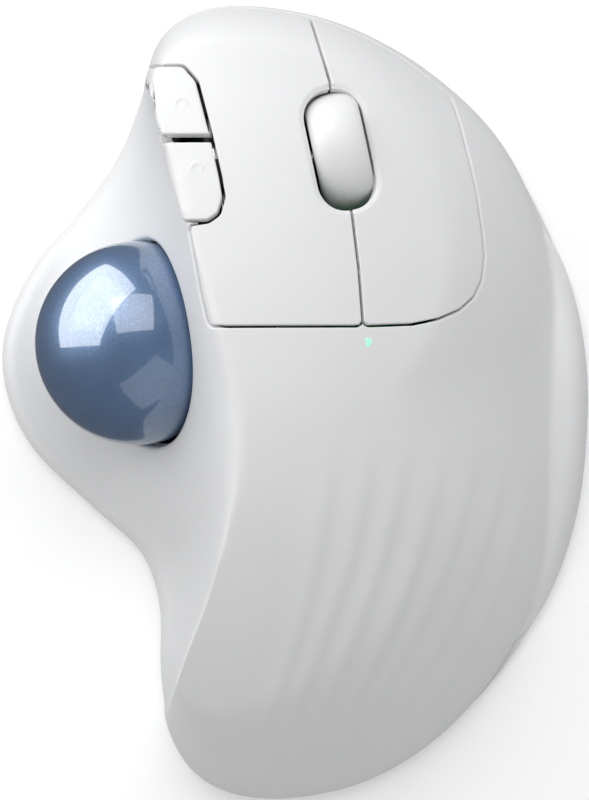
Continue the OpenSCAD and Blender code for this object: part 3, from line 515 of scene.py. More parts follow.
@dataclass(frozen=True)
class Openings:
    """Every cut in the skin. Plan outlines are closed lines in millimetres."""

    gap: float = 0.23
    side_gap: float = 0.35
    side_floor: float = 25.0
    side_key_floor: float = 26.0
    forward_span: tuple[float, float] = (44.4, 80.0)
    back_span: tuple[float, float] = (0.0, 43.0)
    ball_at: tuple[float, float, float] = (-26.4, 10.0, 22.7)
    ball_tilt: float = 54.0
    opening_r: float = 17.35
    collar: float = -5.9
    wheel_at: tuple[float, float] = (7.6, 41.6)
    wheel_lean: float = 12.0
    slot_half: tuple[float, float] = (4.95, 10.3)
    slot_shift: tuple[float, float] = (0.15, 0.5)
    slot_square: float = 0.9

    @property
    def ball_axis(self) -> Array:
        """Unit vector out of the ball's opening."""
        a = math.radians(self.ball_tilt)
        return np.array([-math.sin(a), 0, math.cos(a)])

    def left(self) -> Array:
        """Outline between the left button and what surrounds it."""
        return fillet(LEFT_SEAM + SPLIT[::-1], 1.2, 0.1)

    def right(self) -> Array:
        """Outline between the right button and what surrounds it."""
        return fillet(SPLIT + RIGHT_SEAM[1:], 1.2, 0.1)

    def side(self) -> Array:
        """Outline of the thumb buttons' opening."""
        return fillet(SIDE_OPENING, 1.5, 0.1)

    def slot(self) -> Array:
        """Outline of the scroll wheel's slot.

        Returns:
            The closed outline in plan.
        """
        w, h = self.slot_half
        a = math.radians(self.wheel_lean)
        turn = np.linspace(0, 2 * math.pi, 240, endpoint=False)
        x = np.where(np.cos(turn) >= 0, 1, -1) * w * np.abs(np.cos(turn)) ** self.slot_square
        y = w * np.sin(turn) + np.where(np.sin(turn) >= 0, 1, -1) * (h - w)
        pts = np.column_stack([x, y]) + np.array(self.slot_shift)
        return resample(np.column_stack([
            self.wheel_at[0] + pts[:, 0] * math.cos(a) - pts[:, 1] * math.sin(a),
            self.wheel_at[1] + pts[:, 0] * math.sin(a) + pts[:, 1] * math.cos(a)]), 0.1, True)

    def side_half(self, low: float, high: float) -> Array:
        """Outline of one thumb button between two values of y.

        Args:
            low: Lower bound.
            high: Upper bound.

        Returns:
            The closed outline in plan.
        """
        loop = offset(self.side(), -self.side_gap)
        kept = loop.copy()
        kept[:, 1] = np.clip(kept[:, 1], low, high)
        return fillet(resample(kept, 0.6, True), 0.5, 0.1)

    def ball_rim(self, surface: Surface, grow: float) -> Array:
        """Plan line where a cylinder round the ball meets the skin.

        Args:
            surface: The outer surface.
            grow: How much wider than the opening the cylinder is.

        Returns:
            The closed line in plan.
        """
        c, n = np.array(self.ball_at), self.ball_axis
        u, v = np.array([n[2], 0, -n[0]]), np.array([0, 1.0, 0])
        phi = np.linspace(0, 2 * math.pi, 360, endpoint=False)[:, None]
        ring = c + (self.opening_r + grow) * (np.cos(phi) * u + np.sin(phi) * v)
        lo, hi = np.full(360, -6.0), np.full(360, 16.0)
        for _ in range(34):
            mid = (lo + hi) / 2
            p = ring + mid[:, None] * n
            over = p[:, 2] > surface.height(*surface.polar(p[:, 0], p[:, 1]))
            hi, lo = np.where(over, mid, hi), np.where(over, lo, mid)
        return (ring + ((lo + hi) / 2)[:, None] * n)[:, :2]


class Piece(Enum):
    """Which plate a triangle of the skin belongs to."""

    NONE = 0
    SHELL = 1
    LEFT = 2
    RIGHT = 3
    FORWARD = 4
    BACK = 5


# ---------------------------------------------------------------------------
# Plates
# ---------------------------------------------------------------------------
def nearest(cloud: Array, p: Array) -> tuple[Array, Array]:
    """Finds the nearest point of a cloud.

    Args:
        cloud: The points to search.
        p: The points to search from.

    Returns:
        Distance to, and number of, the nearest point for each of p.
    """
    tree = KDTree(len(cloud))
    for i, c in enumerate(cloud):
        tree.insert((c[0], c[1], 0), i)
    tree.balance()
    found = [tree.find((q[0], q[1], 0)) for q in p]
    return np.array([f[2] for f in found]), np.array([f[1] for f in found])


def add_mesh(name: str, points: Array, faces: Sequence[Sequence[int]],
             sharp: float = 50) -> bpy.types.Object:
    """Makes a smooth-shaded piece from points in millimetres.

    Args:
        name: Name of the piece.
        points: One point per row.
        faces: Corner numbers of each face.
        sharp: Angle in degrees above which an edge stays sharp.

    Returns:
        The new object.
    """
    mesh = bpy.data.meshes.new(name)
    mesh.from_pydata([tuple(p) for p in np.asarray(points) * MM], [], [tuple(map(int, f)) for f in faces])
    mesh.update()
    mesh.shade_smooth()
    mesh.set_sharp_from_angle(angle=math.radians(sharp))
    obj = bpy.data.objects.new(name, mesh)
    bpy.context.scene.collection.objects.link(obj)
    return obj


@dataclass
class SkinPlate:
    """One closed plate cut from the skin."""

    piece: Piece
    name: str
    body: str
    node: str
    thickness: float = 2.0
    lift: float = 0.0
    obj: bpy.types.Object | None = None


class Skin:
    """Cuts the surface into closed plates along the openings' outlines."""

    # Spacing of points along seams and in the open field
    SEAM_STEP = 0.45
    PITCH = 1.15
    # Distances of the extra rows of points from seams, the ball's rim and the fold
    SEAM_ROWS = (0.08, 0.18, 0.32, 0.55, 0.78, 0.95)
    RIM_ROWS = (0, 0.12, 0.3, 0.6, 1.0, 1.5, 2.2)
    CREST_ROWS = (-1.6, -0.8, -0.35, 0, 0.35, 0.8, 1.6)
    # The part of the flat sheet that carries the keys
    FRONT_Y = 20
    FRONT_X = 90
    # Radius of the round edges, and width of the slot's flat chamfer
    SKIRT_EDGE = 0.3
    RIM_EDGE = 1.0
    SLOT_CHAMFER = 0.8
    SEAM_EDGE = 0.22

    def __init__(self, surface: Surface, openings: Openings) -> None:
        """Triangulates the unrolled sheet.

        Args:
            surface: The outer surface.
            openings: Every cut in it.
        """
        self.surface, self.openings = surface, openings
        o, s = openings, surface.shape
        self.left, self.right, self.side, self.slot = o.left(), o.right(), o.side(), o.slot()
        self.zones = {
            Piece.LEFT: (offset(self.left, o.gap), offset(self.left, -o.gap)),
            Piece.RIGHT: (offset(self.right, o.gap), offset(self.right, -o.gap))}
        self.halves = {Piece.FORWARD: o.side_half(*o.forward_span),
                       Piece.BACK: o.side_half(*o.back_span)}
        fine, lines = [], []
        plan = [*self.zones[Piece.LEFT], *self.zones[Piece.RIGHT], self.side, *self.halves.values()]
        for loop in plan:
            lines += self._flatten(loop)
        lines += self._flatten(self.slot)
        for z in (s.key_skirt, s.band_top, o.side_floor, o.side_key_floor):
            level = surface.level(z, self.SEAM_STEP)
            front = (level[:, 1] > self.FRONT_Y) & (np.abs(level[:, 0]) < self.FRONT_X)
            lines += self._runs(level, front, True)
        rims = [o.ball_rim(surface, g) for g in self.RIM_ROWS]
        lines.append(resample(surface.unroll(*rims[0].T), 0.5, True))
        self.rim_line = lines[-1]
        lines.append(surface.level(s.skirt, 0.6))
        self.outer = lines[-1]
        fine += [resample(surface.unroll(*r.T), 0.6, True) for r in rims[1:]]
        fine += self._crest_rows()
        self._triangulate(lines, fine)

    def _crest_rows(self) -> list[Array]:
        """Rows of points along the fold between thumb side and palm.

        Returns:
            Rows of flat-sheet points.
        """
        out = []
        line = resample(self.surface.crest_line, 0.55, False)
        line = line[(line[:, 0] > -66) & (line[:, 0] < 10)]
        for shift in self.CREST_ROWS:
            x, y = line[:, 1] + shift, line[:, 0]
            _, depth = self.surface.polar(x, y)
            keep = depth > 0.5
            out.append(self.surface.unroll(x[keep], y[keep]))
        return out

    def _flatten(self, loop: Array) -> list[Array]:
        """Lays a plan outline on the flat sheet, without what lies off the skin.

        Args:
            loop: Closed outline in plan.

        Returns:
            One closed line, or the runs that are on the skin.
        """
        dense = resample(loop, 0.04, True)
        _, depth = self.surface.polar(dense[:, 0], dense[:, 1])
        flat = self.surface.unroll(dense[:, 0], dense[:, 1])
        if (depth > 0).all():
            return [resample(flat, self.SEAM_STEP, True)]
        return self._runs(flat, depth > 0, False)

    @staticmethod
    def _runs(flat: Array, keep: Array, even: bool) -> list[Array]:
        """Splits a closed line into the runs to keep.

        Args:
            flat: Closed line on the flat sheet.
            keep: Whether to keep each of its points.
            even: Whether the runs end as they are, instead of a little further on.

        Returns:
            The evenly spaced runs.
        """
        start = int(np.argmin(keep))
        ok, flat = np.roll(keep, -start), np.roll(flat, -start, axis=0)
        edges = np.flatnonzero(np.diff(np.concatenate([[0], ok.astype(int), [0]])))
        out = []
        for a, b in edges.reshape(-1, 2):
            run = flat[a:b]
            if len(run) < 6:
                continue
            if not even:
                ends = []
                for tip, back in ((run[0], run[3]), (run[-1], run[-4])):
                    ends.append(tip + (tip - back) / max(np.linalg.norm(tip - back), 1e-9) * 1.5)
                run = np.vstack([ends[0], run, ends[1]])
            out.append(resample(run, Skin.SEAM_STEP, False))
        return out

    def _triangulate(self, lines: list[Array], fine: list[Array]) -> None:
        """Fills the flat sheet with triangles that follow every seam.

        Args:
            lines: Lines that triangles may not cross.
            fine: Extra rows of points.
        """
        must = np.vstack(lines)
        pairs, base = [], 0
        for line in lines:
            n = len(line)
            closed = line is self.rim_line or line is self.outer or np.linalg.norm(line[0] - line[-1]) < 0.9
            pairs += [(base + i, base + i + 1) for i in range(n - 1)]
            if closed:
                pairs.append((base + n - 1, base))
            base += n
        extra = [np.vstack(fine)]
        for line in lines:
            if line is self.rim_line:
                continue
            tangent = np.gradient(line, axis=0)
            tangent /= np.maximum(np.linalg.norm(tangent, axis=1), 1e-9)[:, None]
            normal = np.column_stack([-tangent[:, 1], tangent[:, 0]])
            for s in self.SEAM_ROWS:
                for side in (-1, 1):
                    p = line + normal * s * side
                    gap, _ = nearest(must, p)
                    extra.append(p[gap > 0.85 * s])
        ring = np.vstack(extra)
        for dx in self.marks():
            ring = np.vstack([ring, dx])
        pitch = self.PITCH
        reach = float(np.abs(self.outer).max())
        gx, gy = np.meshgrid(np.arange(-reach, reach, pitch), np.arange(-reach, reach, pitch * 0.866))
        gx = gx + (np.arange(gx.shape[0]) % 2)[:, None] * pitch / 2
        grid = np.column_stack([gx.ravel(), gy.ravel()])
        grid = grid[inside(self.outer, grid[:, 0], grid[:, 1])]
        gap, _ = nearest(np.vstack([must, ring]), grid)
        grid = grid[gap > 0.7]
        cloud = np.vstack([must, ring, grid])
        LOG.info("skin: %d points, %d seam edges", len(cloud), len(pairs))
        verts, _, tris, *_ = geometry.delaunay_2d_cdt([Vector(p) for p in cloud], pairs, [], 0, 1e-5, False)
        self.flat = np.array([(v[0], v[1]) for v in verts])
        self.tris = np.array(tris, int)
        a, b, c = (self.flat[self.tris[:, k]] for k in range(3))
        area = (b[:, 0] - a[:, 0]) * (c[:, 1] - a[:, 1]) - (b[:, 1] - a[:, 1]) * (c[:, 0] - a[:, 0])
        self.tris = np.where((area < 0)[:, None], self.tris[:, ::-1], self.tris)[np.abs(area) > 1e-9]
        self.points = self.surface.place(*self.surface.roll_up(self.flat))
        self.normals = self._normals(self.flat)
        self.labels = self._label(self.flat[self.tris].mean(axis=1))

    def marks(self) -> list[Array]:
        """Extra points round the raised marks on the thumb buttons.

        Returns:
            Rings of flat-sheet points.
        """
        out = []
        for x, y in MARKS:
            turn = np.linspace(0, 2 * math.pi, 20, endpoint=False)
            for r in (0.01, 0.35, 0.6, 0.8, 1.0, 1.2, 1.45):
                out.append(self.surface.unroll(x + r * np.cos(turn), y + r * np.sin(turn)))
        return out

    def _normals(self, flat: Array) -> Array:
        """Outward direction of the skin at points of the flat sheet.

        Args:
            flat: The points.

        Returns:
            One unit vector per point.
        """
        step = 0.12
        here, right, left, up, down = (
            self.surface.place(*self.surface.roll_up(flat + np.array(move)))
            for move in ((0, 0), (step, 0), (-step, 0), (0, step), (0, -step)))
        n = np.cross(right - left, up - down)
        out = here[:, :2] - self.surface.hub
        out /= np.maximum(np.linalg.norm(out, axis=1), 1e-9)[:, None]
        n[(n[:, :2] * out).sum(axis=1) + 2 * n[:, 2] < 0] *= -1
        return n / np.maximum(np.linalg.norm(n, axis=1), 1e-12)[:, None]

    def _label(self, flat: Array) -> Array:
        """Tells which plate each triangle belongs to.

        Args:
            flat: Middle of each triangle on the flat sheet.

        Returns:
            The value of a Piece for each.
        """
        o, s = self.openings, self.surface.shape
        p = self.surface.place(*self.surface.roll_up(flat))
        x, y, z = p.T
        label = np.full(len(p), Piece.SHELL.value)
        for piece, (outer, inner) in self.zones.items():
            label[inside(outer, x, y) & (z > s.band_top)] = Piece.NONE.value
            label[inside(inner, x, y) & (z > s.key_skirt)] = piece.value
        label[inside(self.side, x, y) & (z > o.side_floor)] = Piece.NONE.value
        for piece, loop in self.halves.items():
            label[inside(loop, x, y) & (z > o.side_key_floor)] = piece.value
        label[inside(self.slot, x, y)] = Piece.NONE.value
        label[inside(self.rim_line, flat[:, 0], flat[:, 1])] = Piece.NONE.value
        label[~inside(self.outer, flat[:, 0], flat[:, 1])] = Piece.NONE.value
        return label

    def cut(self, plate: SkinPlate) -> SkinPlate:
        """Builds one plate as a closed piece with rounded edges.

        Args:
            plate: What to cut.

        Returns:
            The same plate, with its object.
        """
        tris = self.tris[self.labels == plate.piece.value]
        used, tris = np.unique(tris, return_inverse=True)
        tris = tris.reshape(-1, 3)
        flat, p, n = self.flat[used], self.points[used], self.normals[used]
        edges = np.vstack([tris[:, [0, 1]], tris[:, [1, 2]], tris[:, [2, 0]]])
        twin = {(a, b) for a, b in edges.tolist()}
        border = [(a, b) for a, b in edges.tolist() if (b, a) not in twin]
        rim = np.array(sorted({i for e in border for i in e}))
        dense, radius = [], []
        for a, b in border:
            mid = (flat[a] + flat[b]) / 2
            r = self._edge_radius(mid, p[a])
            for t in (0, 0.25, 0.5, 0.75):
                dense.append(flat[a] * (1 - t) + flat[b] * t)
                radius.append(r)
        gap, index = nearest(np.array(dense), flat)
        r = np.array(radius)[index]
        g = np.clip(gap / np.abs(r), 0, 1)
        drop = np.where(r > 0, r * (1 - np.sqrt(np.clip(1 - (1 - g) ** 2, 0, 1))), 0.55 * r * (g - 1))
        top = p + n * (plate.lift - drop + self._relief(plate, p))[:, None]
        under = p + n * (plate.lift - plate.thickness)
        count = len(p)
        points = [top, under]
        faces = [tuple(t) for t in tris] + [(c + count, b + count, a + count) for a, b, c in tris.tolist()]
        ball = self._on_ball_rim(flat[rim]) if plate.piece is Piece.SHELL else np.zeros(len(rim), bool)
        ring = {int(i): k for k, i in enumerate(rim[ball])}
        if ring:
            points += list(self._collar(p[rim[ball]]))
        size = len(ring)
        for a, b in border:
            if a in ring and b in ring:
                ka, kb = 2 * count + ring[a], 2 * count + ring[b]
                faces += [(b, a, ka, kb), (kb, ka, ka + size, kb + size),
                          (kb + size, ka + size, a + count, b + count)]
            else:
                faces.append((b, a, a + count, b + count))
        plate.obj = add_mesh(plate.name, np.vstack(points), faces)
        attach(plate.obj, plate.body)
        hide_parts(plate.node)
        LOG.info("%s: %d faces", plate.name, len(faces))
        return plate

    def _collar(self, rim: Array) -> tuple[Array, Array]:
        """Points of the collar that leads down to the ball.

        Args:
            rim: Points of the rim in space.

        Returns:
            Lower inner and lower outer ring.
        """
        o = self.openings
        c, n = np.array(o.ball_at), o.ball_axis
        rel = rim - c
        out = rel - (rel @ n)[:, None] * n
        out /= np.linalg.norm(out, axis=1)[:, None]
        low = c + n * o.collar
        return low + out * o.opening_r, low + out * (o.opening_r + 1.2)

    def _on_ball_rim(self, flat: Array) -> Array:
        """Tells which points of the flat sheet lie on the ball's rim."""
        gap, _ = nearest(self.rim_line, flat)
        return gap < 0.3

    def _edge_radius(self, flat: Array, p: Array) -> float:
        """Radius of the round edge near a point.

        Args:
            flat: The point on the flat sheet.
            p: The same point in space.

        Returns:
            The radius, or minus the width of a flat chamfer.
        """
        if p[2] < self.surface.shape.skirt + 0.4:
            return self.SKIRT_EDGE
        if np.linalg.norm(self.rim_line - flat, axis=1).min() < 0.4:
            return self.RIM_EDGE
        if p[1] > 28 and np.linalg.norm(self.slot[::3] - p[:2], axis=1).min() < 0.5:
            return -self.SLOT_CHAMFER
        return self.SEAM_EDGE

    @staticmethod
    def _relief(plate: SkinPlate, p: Array) -> Array:
        """Raised crescents on the thumb buttons.

        Args:
            plate: The plate being cut.
            p: Its points in space.

        Returns:
            Added height at each point.
        """
        add = np.zeros(len(p))
        if plate.piece not in (Piece.FORWARD, Piece.BACK):
            return add
        for x, y in MARKS:
            r = np.hypot(p[:, 0] - x, p[:, 1] - y)
            arc = ease((p[:, 1] - y + 0.6) / 0.8)
            add += 0.16 * np.exp(-(((r - 0.9) / 0.22) ** 2)) * arc
        return add


# ---------------------------------------------------------------------------
# Node trees
# ---------------------------------------------------------------------------
class Graph:
    """Short-hand for filling a node tree."""

    def __init__(self, tree: bpy.types.NodeTree) -> None:
        """Keeps the tree that the nodes go into."""
        self.tree = tree

    def add(self, kind: str, inputs: dict[str | int, object] | None = None,
            **settings: object) -> Node:
        """Adds a node.

        Args:
            kind: Blender's name of the node type.
            inputs: Values or sockets for its inputs.
            **settings: Properties of the node.

        Returns:
            The new node.
        """
        node = self.tree.nodes.new(kind)
        for key, value in settings.items():
            setattr(node, key, value)
        for key, value in (inputs or {}).items():
            self.feed(node.inputs[key], value)
        return node

    def feed(self, socket: Socket, value: object) -> None:
        """Links a socket, or sets its value.

        Args:
            socket: The input.
            value: A value or another node's output.
        """
        if isinstance(value, Socket):
            self.tree.links.new(value, socket)
        else:
            socket.default_value = value

    def math(self, operation: str, a: object, b: object = 0.0) -> Socket:
        """Adds a Math node and returns its result."""
        kind = "ShaderNodeMath"
        return self.add(kind, {0: a, 1: b}, operation=operation).outputs[0]

    def remap(self, value: object, low: float, high: float,
              to: tuple[object, object]) -> Socket:
        """Maps a value from one range to another, clamped.

        Args:
            value: What to map.
            low: Start of its range.
            high: End of its range.
            to: The two ends of the new range.

        Returns:
            The mapped value.
        """
        node = self.add("ShaderNodeMapRange", {"Value": value, "From Min": low, "From Max": high})
        self.feed(node.inputs["To Min"], to[0])
        self.feed(node.inputs["To Max"], to[1])
        return node.outputs[0]

    def mix(self, factor: object, a: object, b: object) -> Socket:
        """Mixes two colours.

        Args:
            factor: Share of the second colour.
            a: First colour.
            b: Second colour.

        Returns:
            The mixed colour.
        """
        node = self.add("ShaderNodeMix", data_type="RGBA")
        for socket, value in zip((node.inputs[0], node.inputs[6], node.inputs[7]), (factor, a, b)):
            self.feed(socket, value)
        return node.outputs[2]


def rgba(colour: Sequence[float]) -> tuple[float, float, float, float]:
    """Adds an opaque alpha to a colour."""
    return (colour[0], colour[1], colour[2], 1.0)


def new_group(name: str, kind: str, ins: dict[str, object],
              outs: dict[str, str]) -> tuple[Graph, Node, Node]:
    """Starts a node group.

    Args:
        name: Name of the group.
        kind: ShaderNodeTree or GeometryNodeTree.
        ins: Input names with a default, or a socket type for what has no default.
        outs: Output names with their socket types.

    Returns:
        The graph, its input node and its output node.
    """
    tree = bpy.data.node_groups.new(name, kind)
    for label, value in ins.items():
        if isinstance(value, str):
            tree.interface.new_socket(label, in_out="INPUT", socket_type=value)
            continue
        if isinstance(value, bool):
            kind_name = "NodeSocketBool"
        elif isinstance(value, int):
            kind_name = "NodeSocketInt"
        elif isinstance(value, float):
            kind_name = "NodeSocketFloat"
        else:
            kind_name = "NodeSocketColor" if len(value) == 4 else "NodeSocketVector"
        tree.interface.new_socket(label, in_out="INPUT", socket_type=kind_name).default_value = value
    for label, socket_type in outs.items():
        tree.interface.new_socket(label, in_out="OUTPUT", socket_type=socket_type)
    graph = Graph(tree)
    return graph, graph.add("NodeGroupInput"), graph.add("NodeGroupOutput")


class Effects:
    """Shader effects that several finishes share, each built once."""

    def __init__(self) -> None:
        """Builds the groups."""
        self.grain = self._grain()
        self.wear = self._wear()
        self.dust = self._dust()

    @staticmethod
    def _grain() -> bpy.types.NodeTree:
        """Moulded grain: a fine height and a broad tone.

        Returns:
            The group.
        """
        g, i, o = new_group("moulded_grain", "ShaderNodeTree", {"Grains per Metre": 3000.0},
                            {"Height": "NodeSocketFloat", "Tone": "NodeSocketFloat"})
        where = g.add("ShaderNodeTexCoord").outputs["Object"]
        fine = g.add("ShaderNodeTexNoise", {"Vector": where, "Scale": i.outputs[0], "Detail": 2.0})
        cells = g.add("ShaderNodeTexVoronoi", {"Vector": where, "Scale": i.outputs[0]}, feature="SMOOTH_F1")
        broad = g.add("ShaderNodeTexNoise", {"Vector": where, "Scale": 55.0, "Detail": 3.0})
        g.feed(o.inputs["Height"], g.math("MULTIPLY", fine.outputs[0], cells.outputs[0]))
        g.feed(o.inputs["Tone"], g.remap(broad.outputs[0], 0.3, 0.7, (0.0, 1.0)))
        return g.tree

    @staticmethod
    def _wear() -> bpy.types.NodeTree:
        """Colour worn through on sharp edges.

        Returns:
            The group.
        """
        g, i, o = new_group("edge_wear", "ShaderNodeTree",
                            {"Colour": (0.5, 0.5, 0.5, 1.0), "Worn Colour": (0.8, 0.8, 0.8, 1.0),
                             "Amount": 0.2},
                            {"Colour": "NodeSocketColor", "Mask": "NodeSocketFloat"})
        where = g.add("ShaderNodeTexCoord").outputs["Object"]
        patches = g.add("ShaderNodeTexNoise", {"Vector": where, "Scale": 350.0, "Detail": 4.0}).outputs[0]
        sharp = g.remap(g.add("ShaderNodeNewGeometry").outputs["Pointiness"], 0.505, 0.56, (0.0, 1.0))
        mask = g.math("MULTIPLY", g.math("MULTIPLY", sharp, g.remap(patches, 0.35, 0.65, (0.2, 1.0))),
                      i.outputs["Amount"])
        g.feed(o.inputs["Mask"], mask)
        g.feed(o.inputs["Colour"], g.mix(mask, i.outputs["Colour"], i.outputs["Worn Colour"]))
        return g.tree

    @staticmethod
    def _dust() -> bpy.types.NodeTree:
        """Dust that settles on faces that look up.

        Returns:
            The group.
        """
        g, i, o = new_group("settled_dust", "ShaderNodeTree",
                            {"Colour": (0.5, 0.5, 0.5, 1.0), "Dust Colour": (0.62, 0.6, 0.56, 1.0),
                             "Amount": 0.05},
                            {"Colour": "NodeSocketColor", "Mask": "NodeSocketFloat"})
        where = g.add("ShaderNodeTexCoord").outputs["Object"]
        motes = g.add("ShaderNodeTexNoise", {"Vector": where, "Scale": 900.0, "Detail": 5.0}).outputs[0]
        facing = g.add("ShaderNodeNewGeometry").outputs["Normal"]
        up = g.add("ShaderNodeSeparateXYZ", {0: facing}).outputs[2]
        mask = g.math("MULTIPLY", g.remap(up, 0.2, 0.9, (0.0, 1.0)), g.remap(motes, 0.45, 0.7, (0.0, 1.0)))
        mask = g.math("MULTIPLY", mask, i.outputs["Amount"])
        g.feed(o.inputs["Mask"], mask)
        g.feed(o.inputs["Colour"], g.mix(mask, i.outputs["Colour"], i.outputs["Dust Colour"]))
        return g.tree


# ---------------------------------------------------------------------------
# Finishes
# ---------------------------------------------------------------------------
class Look(Enum):
    """Kinds of surface."""

    MOULDED = "moulded plastic"
    PEARL = "polished pearl resin"
    METAL = "metal"
    CLEAR = "clear plastic"
    BOARD = "circuit board"
    GLOW = "lit plastic"
    SLEEVE = "cell sleeve"
    FILM = "flexible film"


@dataclass(frozen=True)
class Finish:
    """One surface finish, with its colours and the size of its detail."""

    name: str
    look: Look
    colour: tuple[float, float, float]
    second: tuple[float, float, float] = (0.8, 0.8, 0.8)
    roughness: float = 0.5
    grain_mm: float = 0.35
    depth_mm: float = 0.004
    wear: float = 0.1
    dust: float = 0.05

    def material(self, effects: Effects) -> bpy.types.Material:
        """The finish as a material, made on first use.

        Args:
            effects: The shared shader groups.

        Returns:
            The material.
        """
        found = bpy.data.materials.get(self.name)
        if found:
            return found
        mat = bpy.data.materials.new(self.name)
        mat.use_nodes = True
        graph = Graph(mat.node_tree)
        shader = mat.node_tree.nodes["Principled BSDF"]
        grain = graph.add("ShaderNodeGroup", node_tree=effects.grain)
        grain.inputs[0].default_value = 1000 / self.grain_mm
        where = graph.add("ShaderNodeTexCoord").outputs["Object"]
        painters = {Look.PEARL: self._pearl, Look.METAL: self._metal, Look.CLEAR: self._clear,
                    Look.BOARD: self._board, Look.GLOW: self._glow, Look.SLEEVE: self._sleeve,
                    Look.FILM: self._film}
        paint = painters.get(self.look, self._moulded)
        colour, height = paint(graph, shader, grain, where)
        wear = graph.add("ShaderNodeGroup", {}, node_tree=effects.wear)
        graph.feed(wear.inputs["Colour"], colour)
        wear.inputs["Worn Colour"].default_value = rgba(self.second)
        wear.inputs["Amount"].default_value = self.wear
        dust = graph.add("ShaderNodeGroup", {"Colour": wear.outputs["Colour"]}, node_tree=effects.dust)
        dust.inputs["Amount"].default_value = self.dust
        graph.feed(shader.inputs["Base Color"], dust.outputs["Colour"])
        rough = graph.remap(grain.outputs["Tone"], 0, 1,
                            (max(self.roughness - 0.03, 0.02), self.roughness + 0.03))
        graph.feed(shader.inputs["Roughness"], graph.math("ADD", rough, dust.outputs["Mask"]))
        bump = graph.add("ShaderNodeBump", {"Distance": self.depth_mm * MM, "Strength": 1.0,
                                            "Height": height})
        graph.feed(shader.inputs["Normal"], bump.outputs[0])
        return mat

    def _moulded(self, g: Graph, shader: Node, grain: Node, where: Socket) -> Painted:
        """Fine sparked texture with a faint drift of tone.

        Args:
            g: The material's node tree.
            shader: The Principled shader.
            grain: The shared grain group.
            where: Object coordinates.

        Returns:
            The base colour and the height that the bump reads.
        """
        shader.inputs["Specular IOR Level"].default_value = 0.25
        shade = tuple(c * 0.975 for c in self.colour)
        return g.mix(grain.outputs["Tone"], rgba(self.colour), rgba(shade)), grain.outputs["Height"]

    def _pearl(self, g: Graph, shader: Node, grain: Node, where: Socket) -> Painted:
        """Fine flecks under a polished clear layer.

        Args:
            g: The material's node tree.
            shader: The Principled shader.
            grain: The shared grain group.
            where: Object coordinates.

        Returns:
            The base colour and the height that the bump reads.
        """
        shader.inputs["Coat Weight"].default_value = 1.0
        shader.inputs["Coat Roughness"].default_value = 0.045
        shader.inputs["Coat IOR"].default_value = 1.8
        flecks = g.add("ShaderNodeTexVoronoi", {"Vector": where, "Scale": 1000 / self.grain_mm})
        bright = g.add("ShaderNodeSeparateColor", {0: flecks.outputs["Color"]}).outputs[0]
        mask = g.remap(bright, 0.55, 1.0, (0.0, 0.5))
        drift = g.add("ShaderNodeTexNoise", {"Vector": where, "Scale": 90.0, "Detail": 3.0}).outputs[0]
        deep = tuple(c * 0.8 for c in self.colour)
        base = g.mix(g.remap(drift, 0.35, 0.65, (0.0, 1.0)), rgba(self.colour), rgba(deep))
        g.feed(shader.inputs["Metallic"], g.remap(bright, 0.4, 1.0, (0.15, 0.6)))
        return g.mix(mask, base, rgba(self.second)), grain.outputs["Height"]

    def _metal(self, g: Graph, shader: Node, grain: Node, where: Socket) -> Painted:
        """Drawn or rolled metal with fine lines.

        Args:
            g: The material's node tree.
            shader: The Principled shader.
            grain: The shared grain group.
            where: Object coordinates.

        Returns:
            The base colour and the height that the bump reads.
        """
        shader.inputs["Metallic"].default_value = 1.0
        lines = g.add("ShaderNodeMapping", {"Vector": where, "Scale": (200.0, 4000.0, 4000.0)})
        noise = g.add("ShaderNodeTexNoise", {"Vector": lines.outputs[0], "Scale": 1.0, "Detail": 2.0})
        streak = noise.outputs[0]
        dull = tuple(c * 0.8 for c in self.colour)
        return g.mix(streak, rgba(self.colour), rgba(dull)), streak

    def _clear(self, g: Graph, shader: Node, grain: Node, where: Socket) -> Painted:
        """Clear moulded plastic.

        Args:
            g: The material's node tree.
            shader: The Principled shader.
            grain: The shared grain group.
            where: Object coordinates.

        Returns:
            The base colour and the height that the bump reads.
        """
        shader.inputs["Transmission Weight"].default_value = 1.0
        shader.inputs["IOR"].default_value = 1.49
        return g.mix(grain.outputs["Tone"], rgba(self.colour), rgba(self.second)), grain.outputs["Height"]

    def _board(self, g: Graph, shader: Node, grain: Node, where: Socket) -> Painted:
        """Solder mask over copper tracks and pads.

        Args:
            g: The material's node tree.
            shader: The Principled shader.
            grain: The shared grain group.
            where: Object coordinates.

        Returns:
            The base colour and the height that the bump reads.
        """
        tracks = g.add("ShaderNodeTexVoronoi", {"Vector": where, "Scale": 420.0, "Randomness": 0.7},
                       distance="CHEBYCHEV")
        pads = g.add("ShaderNodeTexBrick", {"Vector": where, "Scale": 300.0, "Mortar Size": 0.06})
        raised = g.math("MAXIMUM", g.remap(tracks.outputs[0], 0.38, 0.42, (1.0, 0.0)), pads.outputs["Fac"])
        return g.mix(raised, rgba(self.colour), rgba(self.second)), raised

    def _glow(self, g: Graph, shader: Node, grain: Node, where: Socket) -> Painted:
        """Plastic lit from below.

        Args:
            g: The material's node tree.
            shader: The Principled shader.
            grain: The shared grain group.
            where: Object coordinates.

        Returns:
            The base colour and the height that the bump reads.
        """
        tone = g.mix(grain.outputs["Tone"], rgba(self.colour), rgba(self.second))
        g.feed(shader.inputs["Emission Color"], tone)
        shader.inputs["Emission Strength"].default_value = 1.1
        return tone, grain.outputs["Height"]

